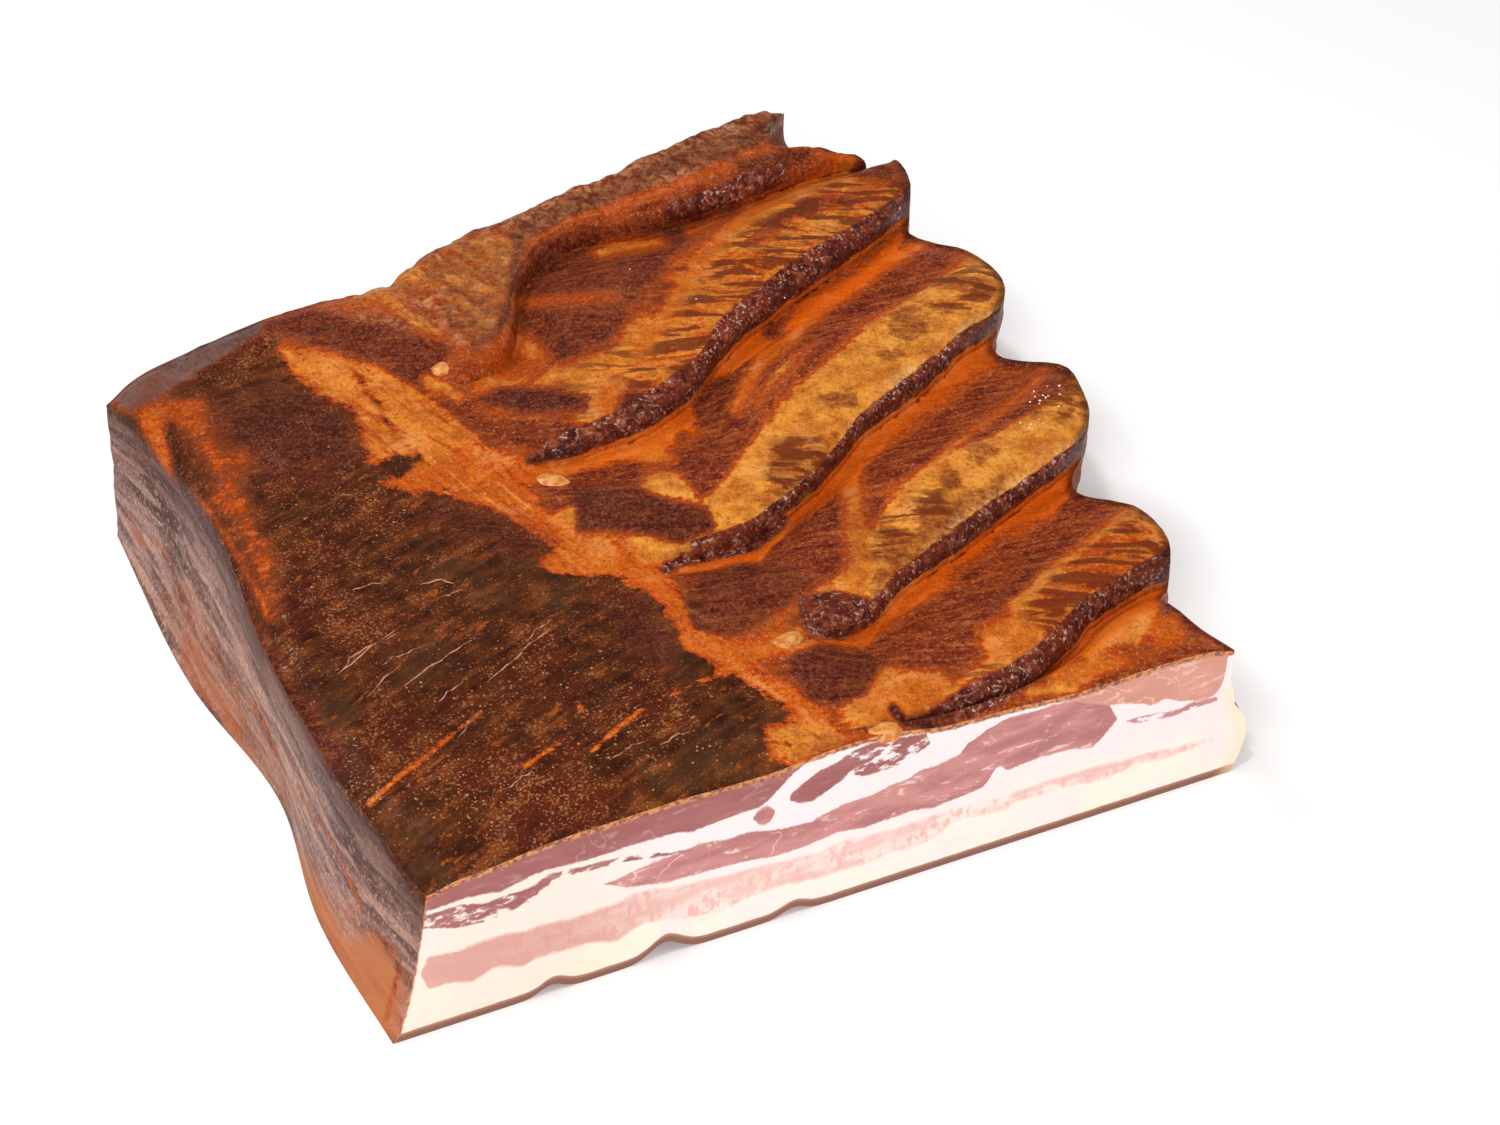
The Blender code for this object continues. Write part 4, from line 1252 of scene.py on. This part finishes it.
# Painted shade and highlight: the ramp is nearly black where the crinkle relief is low and pale pink where it
# is high.
lip_tone = steps(
    tree, crinkle,
    [(0.34, (36, 11, 10)), (0.45, (90, 31, 20)), (0.53, (130, 55, 34)), (0.60, (166, 90, 60)),
     (0.68, (208, 148, 116))],
)
reddened = span(tree, grain(tree, where, 130.0, 3.0), 0.50, 0.62, 0.0, 0.55)
lip_tone = blend(tree, reddened, lip_tone, colour(128, 46, 18))
lip_tone = blend(tree, span(tree, patchy, 0.46, 0.36, 0.0, 0.60), lip_tone, colour(84, 26, 16))
# Painted highlights: pale glint specks in the lips' colour. The same mask also raises their coat.
glints = span(tree, grain(tree, where, 1000.0, 3.0, 0.6, 0.5), 0.575, 0.64)
glints = calc(tree, "MULTIPLY", glints, span(tree, patchy, 0.40, 0.54, 0.25, 1.0))
lip_tone = tint(tree, lip_tone, glints, 0.7, colour(236, 204, 188))
lip_inside = calc(tree, "SUBTRACT", kept(tree, "lip_here"), 0.5)
lip_mask = ragged_mask(tree, lip_inside, where, 420.0, 0.9, 0.25)
skin = blend(tree, lip_mask, skin, lip_tone)
dark_amount = calc(tree, "MULTIPLY", kept(tree, "dark_here"), span(tree, medium, 0.30, 0.60, 0.7, 1.0))
dark_specks = calc(tree, "MAXIMUM", specks, span(tree, flecked, 0.50, 0.60, 0.0, 0.40))
skin = blend(tree, dark_amount, skin, blend(tree, dark_specks, colour(44, 15, 15), colour(130, 80, 62)))
# Pale dusty specks on the border, which partly stand for painted glints on its bumps.
dusty_glints = blend(tree, span(tree, crinkle, 0.42, 0.62), colour(80, 40, 26), colour(196, 140, 102))
skin = tint(tree, skin, kept(tree, "dust_here"), span(tree, torn, 0.35, 0.55, 0.5, 1.0), dusty_glints)
print("nodes with the lips:", len(tree.nodes))

# %% [markdown]
# The left side and the back are dry and grey-brown, with bands that run level. The right flank shows layers
# of fat and lean. Noise that is drawn out along x and y makes both, so the bands go round the corners.

# %% Crust: the sides
side_streaks = grain(tree, turn(tree, where, 0, (0.12, 0.12, 1.0)), 420.0, 5.0, 0.6, 0.3)
side = blend(tree, span(tree, side_streaks, 0.38, 0.62), colour(110, 74, 66), colour(174, 132, 118))
side_bands = grain(tree, turn(tree, where, 0, (0.12, 0.12, 1.0)), 150.0, 5.0, 0.65, 0.5)
side = tint(tree, side, span(tree, side_bands, 0.47, 0.39), 0.65, colour(66, 40, 36))
side = tint(tree, side, span(tree, side_bands, 0.55, 0.63), 0.55, colour(210, 160, 138))
side = tint(tree, side, span(tree, flecked, 0.48, 0.41), 0.45, colour(50, 32, 30))
side = tint(tree, side, span(tree, fine, 0.54, 0.62), 0.42, colour(220, 192, 180))
rust = span(tree, grain(tree, turn(tree, where, 0, (0.2, 0.2, 1.0)), 120.0, 4.0, 0.6), 0.56, 0.64)
side = tint(tree, side, rust, 0.6, colour(170, 86, 50))
flared = blend(tree, side_streaks, colour(170, 84, 40), colour(212, 138, 92))
side = blend(tree, kept(tree, "flare_here"), side, flared)
side = tint(tree, side, span(tree, kept(tree, "crust_depth"), 18.0, 1.0), 0.75, colour(84, 52, 46))
wall_inside = calc(tree, "SUBTRACT", kept(tree, "wall_here"), 0.5)
wall_mask = ragged_mask(tree, wall_inside, where, 260.0, 0.8, 0.2)
skin = blend(tree, wall_mask, skin, side)
strata = grain(tree, turn(tree, where, 0, (0.10, 0.10, 1.0)), 260.0, 5.0, 0.6, 0.2)
strata = push(tree, kept(tree, "height_here"), strata, 0.55)
flank = steps(
    tree, strata,
    [(0.02, (118, 70, 46)), (0.10, (190, 124, 70)), (0.30, (206, 140, 82)), (0.37, (140, 68, 42)),
     (0.48, (124, 54, 34)), (0.55, (198, 116, 58)), (0.63, (204, 128, 70)), (0.70, (130, 56, 34)),
     (0.95, (116, 46, 28))],
)
flank = tint(tree, flank, side_streaks, 0.5, colour(128, 72, 46))
flank_inside = calc(tree, "SUBTRACT", kept(tree, "flank_here"), 0.5)
flank_mask = ragged_mask(tree, flank_inside, where, 260.0, 0.8, 0.2)
skin = blend(tree, flank_mask, skin, flank)
give(tree, shader.inputs["Base Color"], skin)
print("nodes with the sides:", len(tree.nodes))

# %% [markdown]
# Relief that is finer than the mesh is a bump. The lips are a little wetter than the rest, so their coat is
# stronger, and dark smoke and the painted shade under the lips take the gloss away. Some light also goes
# under the surface.

# %% Crust: relief and gloss
height = calc(tree, "MULTIPLY_ADD", fine, 0.6, calc(tree, "MULTIPLY", torn, 0.8))
height = calc(tree, "MULTIPLY_ADD", specks, 0.25, height)
height = calc(tree, "MULTIPLY_ADD", crinkle, calc(tree, "MULTIPLY", lip_mask, 1.6), height)
emboss(tree, shader, height, 0.8, 0.0007)
gloss = calc(tree, "MULTIPLY_ADD", lip_mask, -0.14, span(tree, fine, 0.3, 0.7, 0.32, 0.50))
give(tree, shader.inputs["Roughness"], gloss)
lip_gloss = calc(tree, "MULTIPLY", lip_mask, calc(tree, "MULTIPLY_ADD", glints, 0.6, 0.15))
lip_gloss = calc(tree, "MULTIPLY", lip_gloss, calc(tree, "SUBTRACT", 1.0, dark_amount))
glossy = calc(tree, "MULTIPLY_ADD", specks, 0.4, lip_gloss)
give(tree, shader.inputs["Coat Weight"], calc(tree, "ADD", glossy, 0.02, clamp=True))
CRUST_SETTINGS = {
    "Subsurface Weight": 0.08, "Subsurface Radius": (1.0, 0.35, 0.15), "Subsurface Scale": 0.003,
    "Specular IOR Level": 0.03, "Coat Roughness": 0.16, "Coat IOR": 1.35,
}
for name, value in CRUST_SETTINGS.items():
    shader.inputs[name].default_value = value
print("crust nodes:", len(tree.nodes))

# %% [markdown]
# ### Fresh cut
# The knife left clean white fat, pink lean with fine marbling, a thin dark crust line on top and the brown
# rind below.

# %% Cut material
cut, tree, shader, where = new_finish("fresh_cut_finish")
leaning = turn(tree, where, 0, (0.35, 1.0, 1.0))
teeth = grain(tree, turn(tree, where, 0, (0.8, 1.0, 1.0)), 1100.0, 4.0, 0.7)


def layer_mask(name, rag=1.3, soft=0.3):
    """Where a layer of lean shows on the cut: between its two lines, with a finely toothed border."""
    inside = calc(tree, "MINIMUM", kept(tree, name + "_under"), kept(tree, name + "_over"))
    return ragged_mask(tree, push(tree, inside, teeth, 1.1), leaning, 420.0, rag, soft)


cloud = grain(tree, where, 70.0, 4.0, 0.6)
fat = blend(tree, span(tree, cloud, 0.40, 0.62), colour(238, 222, 216), colour(240, 229, 212))
fat = blend(tree, span(tree, kept(tree, "rind_height"), 10.0, 22.0), fat, colour(236, 219, 218))
fat_streaks = span(tree, grain(tree, leaning, 260.0, 5.0, 0.65), 0.56, 0.72)
fat = tint(tree, fat, fat_streaks, 0.5, colour(240, 214, 188))
fat = tint(tree, fat, kept(tree, "left_part"), 0.45, colour(232, 208, 182))
pink_streaks = span(tree, grain(tree, leaning, 210.0, 5.0, 0.6), 0.38, 0.62)
pink = blend(tree, pink_streaks, colour(168, 102, 100), colour(194, 128, 122))
marbling = span(tree, grain(tree, leaning, 420.0, 6.0, 0.7, 0.6), 0.57, 0.64)
pink = tint(tree, pink, marbling, 0.6, colour(238, 210, 202))
ripple = calc(tree, "ABSOLUTE", calc(tree, "SUBTRACT", grain(tree, where, 85.0, 3.0, 0.5, 0.4), 0.5))
here_and_there = span(tree, grain(tree, where, 40.0), 0.46, 0.54)
hairlines = calc(tree, "MULTIPLY", span(tree, ripple, 0.010, 0.003), here_and_there)
pink = tint(tree, pink, hairlines, 0.7, colour(240, 206, 200))
pale_streaks = span(tree, grain(tree, leaning, 170.0, 5.0, 0.62), 0.40, 0.60)
pale = blend(tree, pale_streaks, colour(224, 184, 174), colour(240, 216, 207))
pale_grain = grain(tree, turn(tree, where, 0, (1.0, 1.0, 0.5)), 520.0, 5.0, 0.7)
pale = blend(tree, span(tree, pale_grain, 0.40, 0.52), colour(226, 176, 164), pale)
pale = blend(tree, kept(tree, "left_part"), pale, blend(tree, 0.8, pale, colour(200, 138, 126)))
deep = blend(tree, 0.70, pink, colour(136, 66, 64))
warm = blend(tree, 0.5, pink, colour(222, 160, 128))
print("nodes for the cut's tones:", len(tree.nodes))

# %% [markdown]
# The tones are laid on layer by layer, then come the crust line, the rind and the two side rims. The thinnest
# layers are broken into bits, as they show only here and there.

# %% Cut: the layers laid on
face = blend(tree, layer_mask("pale_lean", 2.2, 0.7), fat, pale)
for name, tone in (("main_lean", pink), ("top_lean", deep), ("tongue", deep), ("islet", pink),
                   ("right_lean", warm)):
    face = blend(tree, layer_mask(name), face, tone)
bits = span(tree, grain(tree, turn(tree, where, 0, (0.5, 1.0, 1.0)), 480.0, 4.0, 0.6), 0.40, 0.50)
for name, tone in (("second_lean", deep), ("streaked_lean", deep), ("thin_line", pink)):
    face = tint(tree, face, layer_mask(name), bits, tone)
CRUST_DEPTH, RIND_DEPTH, RIM_DEPTH = 1.3, 2.2, 0.5  # mm
crust_inside = calc(tree, "SUBTRACT", CRUST_DEPTH, kept(tree, "crust_depth"))
crust_mask = ragged_mask(tree, crust_inside, where, 380.0, 1.6, 0.3)
crumbs = span(tree, teeth, 0.40, 0.60)
face = blend(tree, crust_mask, face, blend(tree, crumbs, colour(122, 56, 30), colour(208, 138, 78)))
rind_inside = calc(tree, "SUBTRACT", RIND_DEPTH, kept(tree, "rind_height"))
rind_mask = ragged_mask(tree, rind_inside, where, 300.0, 0.5, 0.15)
rind_fade = span(tree, kept(tree, "rind_height"), 2.3, 1.0)
rind_tone = blend(tree, rind_fade, colour(176, 124, 96), colour(126, 80, 64))
face = blend(tree, rind_mask, face, rind_tone)
rim_inside = calc(tree, "SUBTRACT", RIM_DEPTH, kept(tree, "left_gap"))
left_rim = ragged_mask(tree, rim_inside, where, 380.0, 1.2, 0.3)
face = blend(tree, left_rim, face, blend(tree, crumbs, colour(150, 76, 44), colour(206, 130, 74)))
right_rim = span(tree, kept(tree, "right_gap"), 5.0, 0.0)
face = tint(tree, face, right_rim, 0.5, colour(250, 214, 166))
give(tree, shader.inputs["Base Color"], face)
emboss(tree, shader, grain(tree, leaning, 500.0, 5.0, 0.6), 0.25, 0.0004)
give(tree, shader.inputs["Roughness"], span(tree, cloud, 0.3, 0.7, 0.38, 0.52))
shader.inputs["Subsurface Weight"].default_value = 0.25
shader.inputs["Subsurface Radius"].default_value = (1.0, 0.55, 0.35)
shader.inputs["Subsurface Scale"].default_value = 0.002
print("cut nodes:", len(tree.nodes))

# %% [markdown]
# ### Rind
# The rind is smoked skin, smooth and leathery, in two soft browns, with pores where the bristles were. It
# lies on the table, so a noise for the browns and a cell pattern for the pores are enough.

# %% Rind material
rind, tree, shader, where = new_finish("smoked_rind_finish")
patches = grain(tree, where, 45.0, 5.0, 0.6)
tone = blend(tree, span(tree, patches, 0.35, 0.65), colour(138, 84, 52), colour(184, 126, 82))
pores = span(tree, cells(tree, where, 480.0), 0.05, 0.30)
give(tree, shader.inputs["Base Color"], blend(tree, pores, colour(104, 62, 42), tone))
emboss(tree, shader, pores, 0.4, 0.0005)
shader.inputs["Roughness"].default_value = 0.5
for material in (crust, cut, rind):
    body_mesh.materials.append(material)
print("materials:", [m.name for m in body_mesh.materials])

# %% [markdown]
# ## Small things on the crust
# Dried tendons lie on the broad muscle as thin wavy threads. Four pale cartilage nubs show where ribs met the
# breastbone. Salt grains sit on the plateaus, and flakes of dried juice on the broad muscle. They are real
# little solids, as a bump would vanish at the outline. To stand on the crust, each needs the place of the top
# that is seen at a pixel, which is found among the body's own points.

# %% Places on the crust
top_points = np.where(addresses[:, 2] == 1)[0]
camera_distance = np.linalg.norm(points - CAMERA_PLACE, axis=1)


def seen_at(pixel):
    """The place in mm of the crust that is seen at a pixel: the mean of the nearest points in sight."""
    gap = np.hypot(picture_x[top_points] - pixel[0], picture_y[top_points] - pixel[1])
    near = top_points[np.argsort(gap)[:8]]
    near = near[camera_distance[near] < camera_distance[near].min() + 4.0]
    weight = 1 / (0.5 + np.hypot(picture_x[near] - pixel[0], picture_y[near] - pixel[1])) ** 2
    return (points[near] * weight[:, None]).sum(axis=0) / weight.sum()


print("the nub by the seam is at", seen_at((548, 484)).round(1), "mm")


# %% [markdown]
# A dried tendon is a thin strand that tapers at both ends. It starts as a six-sided cylinder, which is cut
# into short rings, and each ring moves to its place on a wavy path. A curve with a bevel would do as well,
# but rings can be set on the crust one by one.

# %% Threads
def add_thread(bm, path, radius):
    """A thin tapered strand along a path in mm. It starts as a six-sided cylinder."""
    already = len(bm.verts)
    new = bmesh.ops.create_cone(bm, cap_ends=True, segments=6, radius1=1, radius2=1, depth=1)["verts"]
    long_edges = {e for v in new for e in v.link_edges if abs(e.verts[0].co.z - e.verts[1].co.z) > 0.5}
    bmesh.ops.subdivide_edges(bm, edges=list(long_edges), cuts=4 * len(path) - 5)
    bm.verts.ensure_lookup_table()
    verts = bm.verts[already:]
    path = np.array(path)
    place_ = np.linspace(0, 1, len(path))
    wave = random.uniform(0, 6)
    for v in verts:
        t = v.co.z + 0.5
        centre = np.array([np.interp(t, place_, path[:, i]) for i in range(3)])
        ahead = np.array([np.interp(min(t + 0.05, 1), place_, path[:, i]) for i in range(2)])
        behind = np.array([np.interp(max(t - 0.05, 0), place_, path[:, i]) for i in range(2)])
        run = ahead - behind
        run = run / max(np.hypot(*run), 1e-6)
        thick = radius * (0.25 + 0.75 * math.sin(math.pi * t) ** 0.5)
        sway = 0.4 * math.sin(9 * t + wave) + 0.2 * math.sin(23 * t)
        side = v.co.x * thick + sway * math.sin(math.pi * t)
        v.co = Vector((centre[0] - run[1] * side, centre[1] + run[0] * side, centre[2] + v.co.y * thick)) * MM


random = np.random.default_rng(7)
TENDONS = [
    [(340, 673), (350, 660), (372, 645), (398, 629)], [(404, 686), (430, 668), (450, 652), (477, 638)],
    [(439, 702), (452, 690), (468, 676)], [(487, 683), (506, 665), (530, 645), (551, 629)],
    [(337, 675), (362, 655), (399, 632)], [(369, 696), (392, 672), (423, 645)],
    [(436, 601), (448, 594), (464, 590)], [(382, 666), (398, 656), (416, 648)],
    [(528, 640), (540, 628), (552, 620)], [(458, 738), (470, 722), (480, 710)],
    [(420, 585), (436, 580), (455, 584)], [(610, 760), (628, 748), (646, 741)],
    [(352, 590), (366, 585), (388, 583)], [(500, 792), (520, 780), (534, 770)],
    [(660, 745), (676, 736), (690, 732)],
]
threads_bm = bmesh.new()
for line in TENDONS:
    path = [seen_at(pixel) + (0, 0, 0.08) for pixel in line]
    add_thread(threads_bm, path, 0.19)
bmesh.ops.recalc_face_normals(threads_bm, faces=threads_bm.faces)
print("threads:", len(TENDONS))

# %% [markdown]
# A cartilage nub is a pale worn lump, half sunk in the crust. A ball that is pushed in and out by noise and
# then flattened is enough, as its foot is hidden.

# %% Nubs
NUBS = {  # pixel, half length, half width in mm, turn in degrees
    "upper_nub": ((443, 369), 3.2, 2.5, -40), "seam_nub": ((548, 481), 4.6, 2.9, -40),
    "lip_nub": ((784, 641), 4.6, 2.2, 10), "cut_nub": ((886, 730), 3.5, 2.6, -10),
}
nubs_bm = bmesh.new()
for pixel, half_long, half_wide, degrees in NUBS.values():
    centre = seen_at(pixel)
    ball = bmesh.ops.create_icosphere(nubs_bm, subdivisions=4, radius=1.0)["verts"]
    shape = np.array([v.co for v in ball])
    shape = shape * (1 + 0.22 * noise(shape * 2.4 + centre, 1.5, 40))[:, None] * (half_long, half_wide, 1.5)
    shape[:, :2] = turned(shape[:, 0], shape[:, 1], -degrees)[:, :2]
    for v, place_ in zip(ball, shape + centre - (0, 0, 0.7)):
        v.co = Vector(place_) * MM
print("nubs:", ", ".join(NUBS))

# %% [markdown]
# Salt is a tilted little cube, and a flake of dried juice is a flattened ball with few sides. They are strewn
# at random around a few places, and the seed is fixed, so every run gives the same ones.

# %% Salt and flakes
SALT_SPOTS = [((1050, 396), 26, 12), ((1035, 424), 14, 6), ((720, 300), 90, 4)]
salt_bm, flakes_bm = bmesh.new(), bmesh.new()


def add_grain(bm, place_, size, flat):
    """A tilted cube of salt, or a flake from a rough ball, flattened and set at a place in mm."""
    grain_ = bmesh.ops.create_cube(bm, size=1.0)["verts"] if bm is salt_bm else bmesh.ops.create_icosphere(
        bm, subdivisions=1, radius=0.6)["verts"]
    tilt = Vector(random.normal(size=3)).normalized().to_track_quat("Z", "Y").to_matrix()
    for v in grain_:
        v.co = (tilt @ v.co) * size
        v.co.z *= flat
        v.co = (v.co + Vector(place_)) * MM


for centre, reach, count in SALT_SPOTS:
    for _ in range(count):
        pixel = np.array(centre) + random.normal(size=2) * reach / 2 * (1, 0.6)
        add_grain(salt_bm, seen_at(pixel) + (0, 0, 0.08), random.uniform(0.22, 0.45), 0.9)
FLAKE_ZONES = [  # middle and reach in pixels, and how many
    ((480, 800), (110, 45), 150), ((640, 740), (90, 40), 90),
    ((520, 690), (140, 60), 110), ((330, 520), (90, 70), 60),
]
for centre, reach, count in FLAKE_ZONES:
    for _ in range(count):
        pixel = np.array(centre) + random.normal(size=2) * reach / 2
        add_grain(flakes_bm, seen_at(pixel) + (0, 0, 0.02), random.uniform(0.25, 0.60), 0.4)
print("salt grains:", sum(s[2] for s in SALT_SPOTS), "flakes:", sum(z_[2] for z_ in FLAKE_ZONES))

# %% [markdown]
# The small things differ in colour and gloss alone, so one recipe serves all four.

# %% Finishes of the small things
SMALL = [  # name, mesh, colours from low to high noise, roughness
    ("dried_tendons", threads_bm, (98, 48, 28), (206, 142, 106), 0.3),
    ("cartilage_nubs", nubs_bm, (188, 100, 38), (222, 152, 74), 0.3),
    ("salt_grains", salt_bm, (226, 214, 196), (255, 250, 242), 0.2),
    ("juice_flakes", flakes_bm, (104, 58, 28), (190, 134, 80), 0.3),
]
small_pieces = []
for name, bm, low, high, rough in SMALL:
    mesh = bpy.data.meshes.new(name)
    bm.to_mesh(mesh)
    bm.free()
    mesh.polygons.foreach_set("use_smooth", [name != "salt_grains"] * len(mesh.polygons))
    finish, tree, shader, where = new_finish(name + "_finish")
    mottle = grain(tree, where, 560.0, 4.0, 0.65)
    tone = blend(tree, span(tree, mottle, 0.35, 0.62), colour(*low), colour(*high))
    give(tree, shader.inputs["Base Color"], tone)
    shader.inputs["Roughness"].default_value = rough
    emboss(tree, shader, mottle, 1.0, 0.0003)
    mesh.materials.append(finish)
    piece = bpy.data.objects.new(name, mesh)
    bpy.context.scene.collection.objects.link(piece)
    small_pieces.append(piece)
print("small pieces:", [p.name for p in small_pieces])

# %% [markdown]
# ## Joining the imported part
# The body rides on the part's only body and stands for its solid, which stays in the physics alone.

# %% Ride and replace
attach(body, "root")
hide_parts(NODE)
for piece in small_pieces:
    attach(piece, "root")
print("body rides on root")

# %% [markdown]
# ## Table and light
# The photograph was lit softly, on a white table. A soft key light stands behind on the left, a wide light in
# front on the left lifts the cut, a small one above makes the glints, and a fill stands on the right.

# %% Floor and lights
floor_mesh = bpy.data.meshes.new("floor")
floor_bm = bmesh.new()
bmesh.ops.create_grid(floor_bm, x_segments=1, y_segments=1, size=3.0)
floor_bm.to_mesh(floor_mesh)
floor_bm.free()
floor = bpy.data.objects.new("floor", floor_mesh)
bpy.context.scene.collection.objects.link(floor)
white = bpy.data.materials.new("white_table")
white.use_nodes = True
white.node_tree.nodes["Principled BSDF"].inputs["Base Color"].default_value = (1, 1, 1, 1)
white.node_tree.nodes["Principled BSDF"].inputs["Roughness"].default_value = 0.7
floor_mesh.materials.append(white)

LIGHTS = [  # name, place in m, size in m, watts
    ("spark_light", (-0.22, -0.20, 0.95), 0.09, 2.2),
    ("key_light", (-0.35, 0.45, 0.75), 0.30, 3.6),
    ("fill_light", (0.55, -0.45, 0.70), 0.60, 1.6),
    ("front_light", (-0.30, -0.90, 0.48), 0.60, 5.0),
]
for name, place_, size, watts in LIGHTS:
    lamp = bpy.data.lights.new(name, "AREA")
    lamp.size, lamp.energy = size, watts
    holder = bpy.data.objects.new(name, lamp)
    holder.location = place_
    holder.rotation_euler = (-Vector(place_)).to_track_quat("-Z", "Y").to_euler()
    bpy.context.scene.collection.objects.link(holder)
world = bpy.data.worlds.new("pale_room")
world.use_nodes = True
world.node_tree.nodes["Background"].inputs["Color"].default_value = (1, 1, 1, 1)
world.node_tree.nodes["Background"].inputs["Strength"].default_value = 0.40
bpy.context.scene.world = world
bpy.context.scene.view_settings.view_transform = "Standard"
print("lights:", len(LIGHTS))
